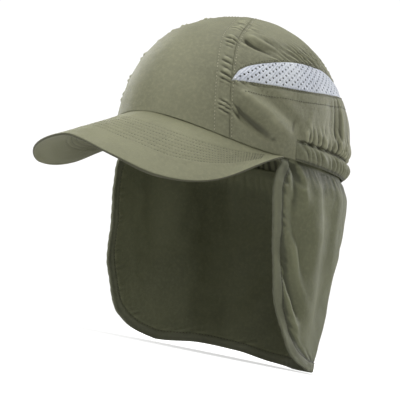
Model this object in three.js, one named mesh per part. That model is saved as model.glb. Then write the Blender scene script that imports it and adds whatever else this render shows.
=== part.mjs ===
// Legionnaire cap in millimetres. The rim of the head opening lies in Z = 0 around the
// origin, +Z is up, the visor points to -Y and the wearer's left side is +X.
// Angles run round the head in degrees: 0 at the forehead, 90 on the wearer's left, 180 at the back.
import * as THREE from 'three';

// Head opening and crown
const HEAD_WIDTH = 158; // outside of the rim, side to side
const HEAD_LENGTH = 202; // outside of the rim, forehead to back
const CROWN_HEIGHT = 107; // rim to apex
const FOREHEAD_RISE = 12; // how far the rim arches up over the forehead
const CLOTH = 1.2; // wall of one cloth panel
const VENT_CLOTH = 0.8; // wall of the pierced side fabric
const VENT_SINK = 0.4; // how far the side fabric lies below the panels round it
const SEAM_GAP = 0.3; // clearance between neighbouring pieces
const SEAM_ANGLE_AT_RIM = 46.5; // angle of the front seam where it meets the rim
const SEAM_ANGLE_AT_TOP = 30.5; // angle of the same seam at the apex

// Visor
const VISOR_END_ANGLE = 72; // angle where the visor leaves the rim
const VISOR_REACH = 71; // front edge of the visor ahead of the forehead
const VISOR_WIDTH = HEAD_WIDTH - 1; // across its two ends
const VISOR_THICKNESS = 2.6;
const VISOR_DROP = 32; // forehead seam down to the front edge
const VISOR_SIDE_POWER = 0.7; // power that fills out the sides of its outline
const VISOR_FRONT_POWER = 0.86; // power that fills out the front of its outline

// Gathered casing round the back
const CASING_START_SHARE = 0.254; // place along the rim, from front seam 0 to centre back 1
const CASING_HEIGHT = 15;
const CASING_BULGE = 2.4;
const CASING_GATHERS = 28;
const GATHER_DEPTH = 1.1;

// Neck flap
const FLAP_DROP = 148;
const FLAP_TUCK = 4; // how far its top edge reaches up inside the crown
const HEM_WIDTH = 9;
const HEM_THICKNESS = 2.6;

// Crown sections from rim to apex; rise is a share of the crown height, the others are
// shares of the reach that the rim has in that direction.
const SECTIONS = [
  { rise: 0.0, front: 1.0, side: 1.0, back: 1.0 },
  { rise: 0.26, front: 0.98, side: 0.96, back: 1.03 },
  { rise: 0.5, front: 0.9, side: 0.88, back: 0.94 },
  { rise: 0.707, front: 0.74, side: 0.745, back: 0.695 },
  { rise: 0.866, front: 0.485, side: 0.56, back: 0.47 },
  { rise: 0.966, front: 0.23, side: 0.285, back: 0.25 },
  { rise: 1.0, front: 0.0, side: 0.0, back: 0.0 },
];

// Edges of the side fabric: place goes from the front seam to the centre back, seam is the
// share of the way up where its lower edge lies, vent is how much further up it reaches.
const VENT_EDGES = [
  { place: 0.0, seam: 0.26, vent: 0.0 },
  { place: 0.03, seam: 0.272, vent: 0.058 },
  { place: 0.1, seam: 0.291, vent: 0.102 },
  { place: 0.215, seam: 0.315, vent: 0.138 },
  { place: 0.33, seam: 0.334, vent: 0.15 },
  { place: 0.45, seam: 0.362, vent: 0.132 },
  { place: 0.565, seam: 0.384, vent: 0.1 },
  { place: 0.71, seam: 0.404, vent: 0.062 },
  { place: 0.88, seam: 0.417, vent: 0.0 },
  { place: 1.0, seam: 0.42, vent: 0.0 },
];

// How far the edge of the visor hangs below the rim, as a share of its drop; turn goes from
// the middle of the front edge to an end.
const VISOR_EDGE = [
  { turn: 0, drop: 0.62 },
  { turn: 22.5, drop: 0.935 },
  { turn: 45, drop: 1.165 },
  { turn: 67.5, drop: 0.93 },
  { turn: 90, drop: 0.0 },
];

// Folds in the crown cloth, the same on both sides. Each runs from one angle and share of
// the way up to another; width and depth are shares of the crown height, a depth below 0
// is a trough.
const CROWN_FOLDS = [
  { angle: 47, up: 0.15, toAngle: 67, toUp: 0.065, width: 0.042, depth: -0.036 },
  { angle: 52, up: 0.21, toAngle: 74, toUp: 0.11, width: 0.055, depth: 0.028 },
  { angle: 60, up: 0.26, toAngle: 80, toUp: 0.15, width: 0.05, depth: -0.014 },
  { angle: 43, up: 0.505, toAngle: 62, toUp: 0.485, width: 0.045, depth: -0.02 },
  { angle: 41, up: 0.6, toAngle: 66, toUp: 0.57, width: 0.06, depth: 0.016 },
  { angle: 112, up: 0.12, toAngle: 116, toUp: 0.34, width: 0.045, depth: 0.02 },
  { angle: 102, up: 0.12, toAngle: 104, toUp: 0.3, width: 0.045, depth: -0.016 },
  { angle: 145, up: 0.12, toAngle: 141, toUp: 0.36, width: 0.06, depth: 0.014 },
  { angle: 160, up: 0.12, toAngle: 164, toUp: 0.32, width: 0.05, depth: -0.014 },
];

// Level sections of the neck flap; drop is a share of its length, side and back are shares
// of the reach of the rim, edge is the angle where the front edge stands.
const FLAP_SECTIONS = [
  { drop: 0.0, side: 1.0, back: 1.0, edge: 72.9 },
  { drop: 0.03, side: 1.02, back: 1.025, edge: 72.4 },
  { drop: 0.08, side: 1.06, back: 1.055, edge: 70.2 },
  { drop: 0.15, side: 1.085, back: 1.07, edge: 69.2 },
  { drop: 0.27, side: 1.095, back: 1.076, edge: 71.0 },
  { drop: 0.41, side: 1.1, back: 1.05, edge: 73.3 },
  { drop: 0.54, side: 1.1, back: 1.03, edge: 76.0 },
  { drop: 0.68, side: 1.1, back: 1.0, edge: 79.6 },
  { drop: 0.81, side: 1.11, back: 0.97, edge: 85.5 },
  { drop: 0.88, side: 1.115, back: 0.955, edge: 90.5 },
  { drop: 0.93, side: 1.12, back: 0.95, edge: 96.5 },
  { drop: 0.97, side: 1.125, back: 0.95, edge: 104.5 },
  { drop: 1.0, side: 1.125, back: 0.955, edge: 117.0 },
];

// Hanging folds of the flap: angle at the top and at the bottom, half width in degrees,
// depth as a share of the flap's length, and the share of the drop where it is deepest.
const FLAP_FOLDS = [
  { angle: 85, toAngle: 97, width: 4.5, depth: -0.022, deepest: 0.28 },
  { angle: 93, toAngle: 108, width: 5.5, depth: 0.02, deepest: 0.3 },
  { angle: 103, toAngle: 122, width: 6.5, depth: -0.018, deepest: 0.45 },
  { angle: 119, toAngle: 138, width: 9, depth: 0.022, deepest: 0.7 },
  { angle: 142, toAngle: 156, width: 10, depth: -0.028, deepest: 0.85 },
  { angle: 168, toAngle: 176, width: 11, depth: 0.02, deepest: 0.8 },
  { angle: 196, toAngle: 190, width: 10, depth: -0.02, deepest: 0.75 },
  { angle: 222, toAngle: 208, width: 11, depth: 0.03, deepest: 0.9 },
  { angle: 244, toAngle: 228, width: 8, depth: -0.018, deepest: 0.6 },
  { angle: 262, toAngle: 250, width: 7, depth: 0.014, deepest: 0.4 },
];

// Lift of the bottom hem round the flap, as a share of its length.
const HEM_WAVE = [
  { angle: 100, lift: 0.0 },
  { angle: 120, lift: 0.0 },
  { angle: 142, lift: -0.008 },
  { angle: 180, lift: 0.002 },
  { angle: 198, lift: 0.022 },
  { angle: 222, lift: 0.026 },
  { angle: 240, lift: 0.0 },
  { angle: 260, lift: 0.0 },
];

const rad = THREE.MathUtils.degToRad;
const { clamp, lerp } = THREE.MathUtils;

/** Smooth curve through a column of a table whose rows stand at rising values of a key. */
function through(table, key, column, at) {
  const last = table.length - 1;
  let i = 0;
  while (i < last - 1 && at > table[i + 1][key]) i += 1;
  const [x0, x1] = [table[i][key], table[i + 1][key]];
  const slope = (k) => {
    const [a, b] = [table[Math.max(k - 1, 0)], table[Math.min(k + 1, last)]];
    return (b[column] - a[column]) / (b[key] - a[key]);
  };
  const t = clamp((at - x0) / (x1 - x0), 0, 1);
  const [t2, t3, span] = [t * t, t * t * t, x1 - x0];
  return (2 * t3 - 3 * t2 + 1) * table[i][column] + (t3 - 2 * t2 + t) * span * slope(i)
    + (3 * t2 - 2 * t3) * table[i + 1][column] + (t3 - t2) * span * slope(i + 1);
}

/** One crown section at a share of the way up; the profile runs on over the apex. */
function section(up) {
  const last = SECTIONS.length - 1;
  const row = (k) => {
    if (k < 0) {
      const [a, b] = [SECTIONS[0], SECTIONS[1]];
      return Object.fromEntries(Object.keys(a).map((name) => [name, 2 * a[name] - b[name]]));
    }
    if (k > last) {
      const a = SECTIONS[2 * last - k];
      return { rise: a.rise, front: -a.front, side: -a.side, back: -a.back };
    }
    return SECTIONS[k];
  };
  const at = clamp(up, 0, 1) * last;
  const k = Math.min(Math.floor(at), last - 1);
  const t = at - k;
  const [a, b, c, d] = [row(k - 1), row(k), row(k + 1), row(k + 2)];
  const curve = (name) => 0.5 * (2 * b[name] + (c[name] - a[name]) * t
    + (2 * a[name] - 5 * b[name] + 4 * c[name] - d[name]) * t * t
    + (3 * b[name] - a[name] - 3 * c[name] + d[name]) * t * t * t);
  return { rise: curve('rise'), front: curve('front'), side: curve('side'), back: curve('back') };
}

/** Height of the rim at an angle: it arches up between the two ends of the visor. */
function rimHeight(angle) {
  const away = Math.min(Math.abs(angle), 360 - Math.abs(angle));
  return FOREHEAD_RISE * 0.5 * (1 + Math.cos(Math.PI * Math.min(away / VISOR_END_ANGLE, 1)));
}

/** Point of the plain crown, before any folds. */
function crownPoint(angle, up) {
  const { rise, front, side, back } = section(up);
  const cosine = Math.cos(rad(angle));
  return new THREE.Vector3(
    HEAD_WIDTH / 2 * Math.sin(rad(angle)) * side,
    -HEAD_LENGTH / 2 * cosine * (cosine > 0 ? front : back),
    rimHeight(angle) * (1 - rise) + CROWN_HEIGHT * rise,
  );
}

/** Unit normal of a surface given by a function of two values, by small steps. */
function normalOf(surface, a, b, stepA, stepB) {
  const alongA = surface(a + stepA, b).sub(surface(a - stepA, b));
  const alongB = surface(a, b + stepB).sub(surface(a, b - stepB));
  return alongA.cross(alongB).normalize();
}

function crownNormal(angle, up) {
  if (up > 0.992) return new THREE.Vector3(0, 0, 1);
  return normalOf(crownPoint, angle, clamp(up, 0.002, 0.99), 0.2, 0.002);
}

/** How far the folds push the crown cloth out at a place. */
function crownRelief(angle, up) {
  const around = Math.PI * (HEAD_LENGTH + HEAD_WIDTH) / 720;
  const along = CROWN_HEIGHT * Math.PI / 2;
  const mirrored = angle > 180 ? 360 - angle : Math.abs(angle);
  let push = 0;
  for (const fold of CROWN_FOLDS) {
    const [dx, dy] = [(fold.toAngle - fold.angle) * around, (fold.toUp - fold.up) * along];
    const [px, py] = [(mirrored - fold.angle) * around, (up - fold.up) * along];
    const t = clamp((px * dx + py * dy) / (dx * dx + dy * dy), 0, 1);
    const off = Math.hypot(px - t * dx, py - t * dy) / (fold.width * CROWN_HEIGHT);
    push += fold.depth * CROWN_HEIGHT * Math.exp(-off * off) * (0.55 + 0.45 * Math.sin(Math.PI * t));
  }
  // the folds die away at the seams, where the cloth is held
  const seam = clamp((mirrored - seamAngle(up)) / 5, 0, 1);
  return push * seam * clamp(up / 0.06, 0, 1);
}

function seamAngle(up) {
  return lerp(SEAM_ANGLE_AT_RIM, SEAM_ANGLE_AT_TOP, up);
}

/** The same place counted from the nearer front seam. */
function nearPlace(place) {
  return place <= 1 ? place : 2 - place;
}

/** Layers of cloth at one place: the outer and the inner point. */
function crownLayers(angle, up, lift, wall, relief = 1) {
  const normal = crownNormal(angle, up);
  const outer = crownPoint(angle, up)
    .addScaledVector(normal, lift + relief * crownRelief(angle, up));
  return { outer, inner: outer.clone().addScaledVector(normal, -wall) };
}

/** Closed solid from a grid of layered points; cells that keep() refuses are left open. */
function solidFrom(columns, rows, layersAt, keep = () => true) {
  const positions = [];
  const indices = [];
  const known = new Map();
  const id = (p) => {
    const key = [p.x, p.y, p.z].map((v) => Math.round(v * 1000)).join();
    if (!known.has(key)) {
      known.set(key, positions.length / 3);
      positions.push(p.x, p.y, p.z);
    }
    return known.get(key);
  };
  const grid = [];
  for (let i = 0; i < columns; i += 1) {
    grid.push([]);
    for (let j = 0; j < rows; j += 1) {
      const { outer, inner } = layersAt(i, j);
      grid[i].push([id(outer), id(inner)]);
    }
  }
  const triangle = (a, b, c) => {
    if (a !== b && b !== c && c !== a) indices.push(a, b, c);
  };
  const quad = (a, b, c, d) => {
    triangle(a, b, c);
    triangle(a, c, d);
  };
  const kept = (i, j) => i >= 0 && j >= 0 && i < columns - 1 && j < rows - 1 && keep(i, j);
  for (let i = 0; i < columns - 1; i += 1) {
    for (let j = 0; j < rows - 1; j += 1) {
      if (!kept(i, j)) continue;
      const [a, b, c, d] = [grid[i][j], grid[i + 1][j], grid[i + 1][j + 1], grid[i][j + 1]];
      quad(a[0], b[0], c[0], d[0]);
      quad(d[1], c[1], b[1], a[1]);
      if (!kept(i, j - 1)) quad(b[0], a[0], a[1], b[1]);
      if (!kept(i + 1, j)) quad(c[0], b[0], b[1], c[1]);
      if (!kept(i, j + 1)) quad(d[0], c[0], c[1], d[1]);
      if (!kept(i - 1, j)) quad(a[0], d[0], d[1], a[1]);
    }
  }
  const geometry = new THREE.BufferGeometry();
  geometry.setAttribute('position', new THREE.Float32BufferAttribute(positions, 3));
  geometry.setIndex(indices);
  geometry.computeVertexNormals();
  return geometry;
}

/** Evenly spaced values from one end to the other, both kept. */
function spread(from, to, count) {
  return Array.from({ length: count }, (_, k) => lerp(from, to, k / (count - 1)));
}

const TIP = 0.985; // share of the way up where the last ring below the apex lies

/** Point of a panel at the apex, drawn back from the middle to keep the seam clearance. */
function apexLayers(side) {
  const outer = new THREE.Vector3(0, side * SEAM_GAP / 2 / Math.sin(rad(SEAM_ANGLE_AT_TOP)), CROWN_HEIGHT);
  return { outer, inner: outer.clone().add(new THREE.Vector3(0, 0, -CLOTH)) };
}

/** Angle that half of the seam clearance takes up at a share of the way up. */
function gapAngle(up) {
  const p = crownPoint(seamAngle(up), up);
  return THREE.MathUtils.radToDeg(SEAM_GAP / 2 / Math.hypot(p.x, p.y));
}

const GAP_UP = SEAM_GAP / 2 / (CROWN_HEIGHT * Math.PI / 2); // the same half as a share of the way up

/** The wide front panel, from the rim to the apex between the two front seams. */
function frontPanel() {
  const across = spread(-1, 1, 17);
  const ups = [...spread(0, 0.94, 13), TIP, 1];
  return solidFrom(across.length, ups.length, (i, j) => {
    if (j === ups.length - 1) return apexLayers(-1);
    const half = seamAngle(ups[j]) - gapAngle(ups[j]);
    return crownLayers(across[i] * half, ups[j], 0, CLOTH);
  });
}

/**
 * Angle at a place behind the front seams, half the clearance away from them: 0 is the left
 * seam, 1 the centre back and 2 the right seam.
 */
function clearAngle(place, up) {
  const seam = seamAngle(up) + gapAngle(up);
  return place <= 1 ? lerp(seam, 180, place) : lerp(180, 360 - seam, place - 1);
}

// Places where the panels behind the front seams have their columns, shared so that
// neighbouring edges follow each other; closer together where the folds are.
const NEAR_PLACES = [
  0, 0.012, 0.03, 0.048, 0.066, 0.084, 0.102, 0.12, 0.14, 0.16, 0.18, 0.205, 0.23, CASING_START_SHARE,
  0.3, 0.35, 0.4, 0.45, 0.5, 0.55, 0.6, 0.65, 0.7, 0.76, 0.82, 0.88, 0.94, 1,
];
const ALL_PLACES = [...NEAR_PLACES, ...NEAR_PLACES.slice(0, -1).reverse().map((place) => 2 - place)];

const ventSeam = (place) => through(VENT_EDGES, 'place', 'seam', nearPlace(place));
const ventTop = (place) => ventSeam(place)
  + Math.max(0, through(VENT_EDGES, 'place', 'vent', nearPlace(place)));

/** The panel over the top and back, above the side fabric. */
function upperBackPanel() {
  const shares = [...spread(0, 0.88, 6), 1];
  return solidFrom(ALL_PLACES.length, shares.length + 1, (i, j) => {
    if (j === shares.length) return apexLayers(1);
    const up = lerp(ventTop(ALL_PLACES[i]) + GAP_UP, TIP, shares[j]);
    return crownLayers(clearAngle(ALL_PLACES[i], up), up, 0, CLOTH);
  });
}

const CASING_UP = 2 / Math.PI * Math.asin(CASING_HEIGHT / CROWN_HEIGHT);

/** The band round the sides and back, from the rim or the casing up to the side fabric. */
function lowerBackPanel() {
  const places = ALL_PLACES;
  const low = spread(0, 1, 3);
  const high = spread(0, 1, 10).slice(1);
  const rows = low.length + high.length;
  return solidFrom(places.length, rows, (i, j) => {
    const base = CASING_UP + GAP_UP;
    const up = j < low.length ? base * low[j]
      : lerp(base, ventSeam(places[i]) - GAP_UP, high[j - low.length]);
    return crownLayers(clearAngle(places[i], up), up, 0, CLOTH);
  }, (i, j) => {
    const middle = nearPlace((places[i] + places[i + 1]) / 2);
    return j >= low.length - 1 || middle < CASING_START_SHARE;
  });
}

/** The crescent of side fabric on one side, pointed at both ends. */
function sideVent(right) {
  const end = VENT_EDGES[VENT_EDGES.findLastIndex((row) => row.vent > 0) + 1];
  const places = NEAR_PLACES.filter((place) => place <= end.place);
  const shares = spread(0, 1, 4);
  return solidFrom(places.length, shares.length, (i, j) => {
    const place = right ? 2 - places[places.length - 1 - i] : places[i];
    const [low, top] = [ventSeam(place), ventTop(place)];
    const inset = Math.min(GAP_UP, (top - low) / 2);
    const up = lerp(low + inset, top - inset, shares[j]);
    return crownLayers(clearAngle(place, up), up, -VENT_SINK, VENT_CLOTH);
  });
}

/** The tunnel round the back, swollen and gathered by the elastic in it. */
function elasticCasing() {
  const start = CASING_START_SHARE + 2 * gapAngle(0) / (180 - SEAM_ANGLE_AT_RIM);
  const places = spread(start, 2 - start, CASING_GATHERS * 4 + 1);
  const shares = [0, 0.25, 0.75, 1];
  return solidFrom(places.length, shares.length, (i, j) => {
    const wave = Math.sin(i / (places.length - 1) * CASING_GATHERS * 2 * Math.PI);
    const swell = Math.sin(Math.PI * shares[j]) ** 0.5;
    const lift = swell * (CASING_BULGE + GATHER_DEPTH * wave);
    const up = lerp(0, CASING_UP - GAP_UP, shares[j]);
    return crownLayers(clearAngle(places[i], up), up, lift, lift + CLOTH, 0);
  });
}

/** Outline of the visor; turn goes from -90 at its right end to 90 at its left end. */
function visorEdge(turn) {
  const [sine, cosine] = [Math.sin(rad(turn)), Math.cos(rad(turn))];
  const end = -HEAD_LENGTH / 2 * Math.cos(rad(VISOR_END_ANGLE));
  const length = VISOR_REACH + HEAD_LENGTH / 2 + end;
  return new THREE.Vector3(
    VISOR_WIDTH / 2 * Math.sign(sine) * Math.abs(sine) ** VISOR_SIDE_POWER,
    end - length * Math.max(cosine, 0) ** VISOR_FRONT_POWER,
    -VISOR_DROP * through(VISOR_EDGE, 'turn', 'drop', Math.abs(turn)),
  );
}

/** Upper face of the visor: across from -1 to 1, out from the rim 0 to the edge 1. */
function visorPoint(across, out) {
  const angle = across * VISOR_END_ANGLE;
  const inner = new THREE.Vector3(
    (HEAD_WIDTH / 2 - CLOTH) * Math.sin(rad(angle)),
    -(HEAD_LENGTH / 2 - CLOTH) * Math.cos(rad(angle)),
    rimHeight(angle) - SEAM_GAP,
  );
  return inner.lerp(visorEdge(across * 90), out);
}

/** The visor board, thinner towards its edge and its ends. */
function visor() {
  const across = spread(1, -1, 37).map((u) => Math.sign(u) * (1 - (1 - Math.abs(u)) ** 1.15));
  const outs = [0, 0.04, 0.2, 0.4, 0.6, 0.8, 0.94, 1];
  return solidFrom(across.length, outs.length, (i, j) => {
    const u = across[i];
    const outer = visorPoint(u, outs[j]);
    const taper = 0.55 + 0.45 * Math.min(1, (1 - Math.abs(u)) / 0.12);
    const edge = outs[j] > 0.9 ? 0.8 : 1;
    const normal = normalOf(visorPoint, clamp(u, -0.985, 0.985), clamp(outs[j], 0.02, 0.98), 0.01, 0.01)
      .multiplyScalar(-1);
    return { outer: outer.clone(), inner: outer.addScaledVector(normal, -VISOR_THICKNESS * taper * edge) };
  });
}

/** Outer face of the flap at an angle and share of the drop; above 0 it is tucked into the crown. */
function flapPoint(angle, drop) {
  if (drop <= 0) {
    const up = -drop * FLAP_DROP / (CROWN_HEIGHT * Math.PI / 2);
    return crownPoint(angle, up).addScaledVector(crownNormal(angle, up), -CLOTH - SEAM_GAP);
  }
  const inset = (CLOTH + SEAM_GAP) * Math.max(0, 1 - drop / 0.03);
  const side = HEAD_WIDTH / 2 * through(FLAP_SECTIONS, 'drop', 'side', drop);
  const back = HEAD_LENGTH / 2 * through(FLAP_SECTIONS, 'drop', 'back', drop);
  const held = clamp(drop / 0.12, 0, 1);
  let push = 0;
  for (const fold of FLAP_FOLDS) {
    const off = (angle - lerp(fold.angle, fold.toAngle, drop)) / fold.width;
    const along = (drop - fold.deepest) / 0.42;
    push += fold.depth * FLAP_DROP * Math.exp(-off * off - along * along);
  }
  const lift = FLAP_DROP * drop * drop * through(HEM_WAVE, 'angle', 'lift', angle);
  const outward = new THREE.Vector3(
    Math.sin(rad(angle)) / side, -Math.cos(rad(angle)) / back, 0).normalize();
  return new THREE.Vector3(
    side * Math.sin(rad(angle)), -back * Math.cos(rad(angle)), -FLAP_DROP * drop + lift,
  ).addScaledVector(outward, push * held - inset);
}

/** Distance from a place on the flap to its free edge, along the cloth. */
function edgeDistance(angle, drop) {
  const around = Math.PI * (HEAD_LENGTH + HEAD_WIDTH) / 720 * 1.06;
  const mirrored = angle > 180 ? 360 - angle : angle;
  let best = (1 - drop) * FLAP_DROP + (mirrored < 117 ? 1e3 : 0);
  const steps = 60;
  for (let k = 0; k < steps; k += 1) {
    const at = k / (steps - 1);
    const edge = through(FLAP_SECTIONS, 'drop', 'edge', at);
    best = Math.min(best, Math.hypot((mirrored - edge) * around, (drop - at) * FLAP_DROP));
  }
  return best;
}

/** The flap with its hem, from the tuck inside the crown down to the bottom edge. */
function neckFlap() {
  const around = Math.PI * (HEAD_LENGTH + HEAD_WIDTH) / 720;
  const near = [0, 1.2, HEM_WIDTH - 1.2, HEM_WIDTH].map((length) => length / around);
  const hem = HEM_WIDTH / FLAP_DROP;
  const drops = [
    -FLAP_TUCK / FLAP_DROP, 0, 0.006, 0.03, 0.08, 0.15, 0.23, 0.32, 0.41, 0.5, 0.59, 0.68,
    0.76, 0.82, 0.87, 0.905, 1 - hem, 1 - hem * 0.85, 0.97, 0.99, 1,
  ].reverse();
  const inside = 38;
  const columns = near.length * 2 + inside;
  return solidFrom(columns, drops.length, (i, j) => {
    const drop = drops[j];
    const start = through(FLAP_SECTIONS, 'drop', 'edge', Math.max(drop, 0));
    const last = columns - 1;
    let angle;
    if (i < near.length) angle = start + near[i];
    else if (last - i < near.length) angle = 360 - start - near[last - i];
    else {
      const first = start + near[near.length - 1];
      angle = lerp(first, 360 - first, (i - near.length + 1) / (inside + 1));
    }
    const normal = normalOf(flapPoint, angle, Math.min(drop, 0.99), 0.3, 0.005).multiplyScalar(-1);
    const hemmed = clamp((HEM_WIDTH - edgeDistance(angle, drop)) / 1.3, 0, 1) * clamp(drop / 0.03, 0, 1);
    const wall = lerp(CLOTH, HEM_THICKNESS, hemmed);
    const outer = flapPoint(angle, drop).addScaledVector(normal, (wall - CLOTH) / 2);
    const inner = outer.clone().addScaledVector(normal, -wall);
    return { outer, inner };
  });
}

const OLIVE = 0x8a8972;
const LIGHT_OLIVE = 0x9a9980;
const DARK_OLIVE = 0x5b5c4a;
const VENT_GREY = 0xccd6da;

const PIECES = [
  { name: 'front_panel', make: frontPanel, color: OLIVE },
  { name: 'upper_back_panel', make: upperBackPanel, color: OLIVE },
  { name: 'lower_back_panel', make: lowerBackPanel, color: OLIVE },
  { name: 'vent_left', make: () => sideVent(false), color: VENT_GREY },
  { name: 'vent_right', make: () => sideVent(true), color: VENT_GREY },
  { name: 'elastic_casing', make: elasticCasing, color: DARK_OLIVE },
  { name: 'visor', make: visor, color: LIGHT_OLIVE },
  { name: 'neck_flap', make: neckFlap, color: OLIVE },
];

const group = new THREE.Group();
group.name = 'legionnaire_cap';
for (const { name, make, color } of PIECES) {
  const mesh = new THREE.Mesh(make(), new THREE.MeshStandardMaterial({ color, roughness: 0.85 }));
  mesh.name = name;
  group.add(mesh);
}

export default group;
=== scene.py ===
"""Legionnaire cap: an olive sun cap with pierced side vents, a gathered casing and a neck flap.

Metres throughout, in the frame of the solids: the rim of the head opening lies in Z = 0 round
the origin, +Z is up, the visor points to -Y and the wearer's left side is +X. Angles run round
the head in degrees: 0 at the forehead, 90 on the wearer's left, 180 at the back.
"""
from __future__ import annotations

import logging
import math
from collections.abc import Callable
from dataclasses import dataclass, field
from enum import Enum

import bpy
import numpy as np
from mathutils import Matrix, Vector

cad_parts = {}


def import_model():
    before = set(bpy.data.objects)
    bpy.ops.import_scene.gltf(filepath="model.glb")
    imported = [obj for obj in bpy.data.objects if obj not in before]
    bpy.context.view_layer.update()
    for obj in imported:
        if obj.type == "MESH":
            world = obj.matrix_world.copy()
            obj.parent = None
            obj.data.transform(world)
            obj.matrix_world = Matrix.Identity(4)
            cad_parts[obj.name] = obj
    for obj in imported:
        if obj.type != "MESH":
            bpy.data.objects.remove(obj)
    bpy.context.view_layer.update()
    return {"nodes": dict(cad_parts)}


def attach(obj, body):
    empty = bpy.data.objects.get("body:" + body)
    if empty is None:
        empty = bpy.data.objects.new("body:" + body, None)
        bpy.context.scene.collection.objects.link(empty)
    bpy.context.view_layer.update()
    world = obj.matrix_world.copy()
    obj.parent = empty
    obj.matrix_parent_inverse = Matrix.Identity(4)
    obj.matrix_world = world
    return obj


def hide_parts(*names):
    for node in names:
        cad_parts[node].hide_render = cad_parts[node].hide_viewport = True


Array = np.ndarray
Colour = tuple[int, int, int]
Piece, Material = bpy.types.Object, bpy.types.Material
Node, NodeTree, Socket = bpy.types.Node, bpy.types.NodeTree, bpy.types.NodeSocket

log = logging.getLogger("legionnaire_cap")


# Shared tools


class Side(Enum):
    """Which side of the head a piece belongs to."""

    LEFT = 1
    RIGHT = -1


class Face(Enum):
    """Which face of a cloth shell a row of stitches shows on."""

    OUTER = 1
    INNER = -1


@dataclass(frozen=True)
class Table:
    """Short table with named columns, read along its first column."""

    columns: tuple[str, ...]
    rows: tuple[tuple[float, ...], ...]

    def column(self, name: str) -> Array:
        """All values of one column."""
        at = self.columns.index(name)
        return np.array([row[at] for row in self.rows], dtype=float)

    def through(self, name: str, at: Array | float) -> Array:
        """Smooth curve through a column.

        Args:
            name: The column.
            at: Values of the first column.

        Returns:
            The column's values there.
        """
        keys, values = self.column(self.columns[0]), self.column(name)
        at, last = np.asarray(at, dtype=float), len(keys) - 1
        i = np.clip(np.searchsorted(keys, at, side="left") - 1, 0, last - 1)
        low = np.maximum(np.arange(last + 1) - 1, 0)
        high = np.minimum(np.arange(last + 1) + 1, last)
        slope = (values[high] - values[low]) / (keys[high] - keys[low])
        span = keys[i + 1] - keys[i]
        t = np.clip((at - keys[i]) / span, 0, 1)
        return (
            (2 * t**3 - 3 * t**2 + 1) * values[i]
            + (t**3 - 2 * t**2 + t) * span * slope[i]
            + (3 * t**2 - 2 * t**3) * values[i + 1]
            + (t**3 - t**2) * span * slope[i + 1]
        )


def bell(x: Array, width: float) -> Array:
    """Smooth bump of height 1 at 0 with a half width."""
    return np.exp(-((x / width) ** 2))


def step(x: Array, start: float, end: float) -> Array:
    """Smooth rise from 0 at start to 1 at end; end may lie below start."""
    t = np.clip((x - start) / (end - start), 0, 1)
    return t * t * (3 - 2 * t)


def wander(at: Array, reach: float, seed: int) -> Array:
    """Smooth random wave along one measure.

    Args:
        at: Where, in metres.
        reach: About how far apart its crests lie.
        seed: Seed of its waves.

    Returns:
        Values of about -1 to 1.
    """
    rng = np.random.default_rng(seed)
    waves = [np.sin(2 * np.pi * ((0.55 + rng.random()) * at / reach + rng.random())) for _ in range(6)]
    return sum(waves) / 2.4


def swell(points: Array, reach: float, seed: int, waves: int = 16) -> Array:
    """Smooth random unevenness in space.

    Args:
        points: Points, last axis of 3.
        reach: About how far apart its crests lie.
        seed: Seed of its waves.
        waves: How many plane waves it sums.

    Returns:
        Values of about -1 to 1.
    """
    rng = np.random.default_rng(seed)
    total = np.zeros(points.shape[:-1])
    for _ in range(waves):
        way = rng.normal(size=3)
        way *= (0.6 + 0.8 * rng.random()) * 2 * np.pi / reach / np.linalg.norm(way)
        total += np.sin(points @ way + rng.random() * 2 * np.pi)
    return total / math.sqrt(waves / 2) / 1.6


def unit(vectors: Array) -> Array:
    """The same directions with length 1."""
    return vectors / np.maximum(np.linalg.norm(vectors, axis=-1, keepdims=True), 1e-12)


def graded(length: float, pitch: float, near: tuple[float, ...], both: bool = True) -> Array:
    """Shares of a length, close together at its ends.

    Args:
        length: The length in metres.
        pitch: Spacing away from the ends.
        near: Distances from the end that each get a place.
        both: Whether the far end is close-spaced too.

    Returns:
        Rising shares from 0 to 1.
    """
    fine = np.array(near) / length
    end = 1 - fine[-1] if both else 1.0
    count = max(3, int(round((end - fine[-1]) * length / pitch)))
    middle = np.linspace(fine[-1], end, count + 1)[1:-1]
    tail = 1 - fine[::-1] if both else np.array([1.0])
    return np.concatenate([fine, middle, tail])


def relief_of(height: Callable[[Array, Array], Array], u: Array, v: Array, step_u: Array | float,
              step_v: float) -> Array:
    """How far each place of a height field stands over the places round it.

    Args:
        height: The height field, of two measures.
        u: First measure.
        v: Second measure.
        step_u: How far round it reaches in the first measure.
        step_v: How far round it reaches in the second.

    Returns:
        Height over the mean of six places round it: above 0 on ridges, below 0 in creases.
    """
    ring = [(math.cos(math.pi * k / 3 + 0.3), math.sin(math.pi * k / 3 + 0.3)) for k in range(6)]
    around = sum(height(u + x * step_u, v + y * step_v) for x, y in ring)
    return height(u, v) - around / len(ring)


def rounding(edge: Array, radius: float) -> Array:
    """Share of the full wall that is left at a distance from an edge, for a rounded edge."""
    t = 1 - np.minimum(edge, radius) / radius
    return 0.34 + 0.66 * np.sqrt(np.maximum(1 - t * t, 0))


# Shape of the cap


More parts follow.
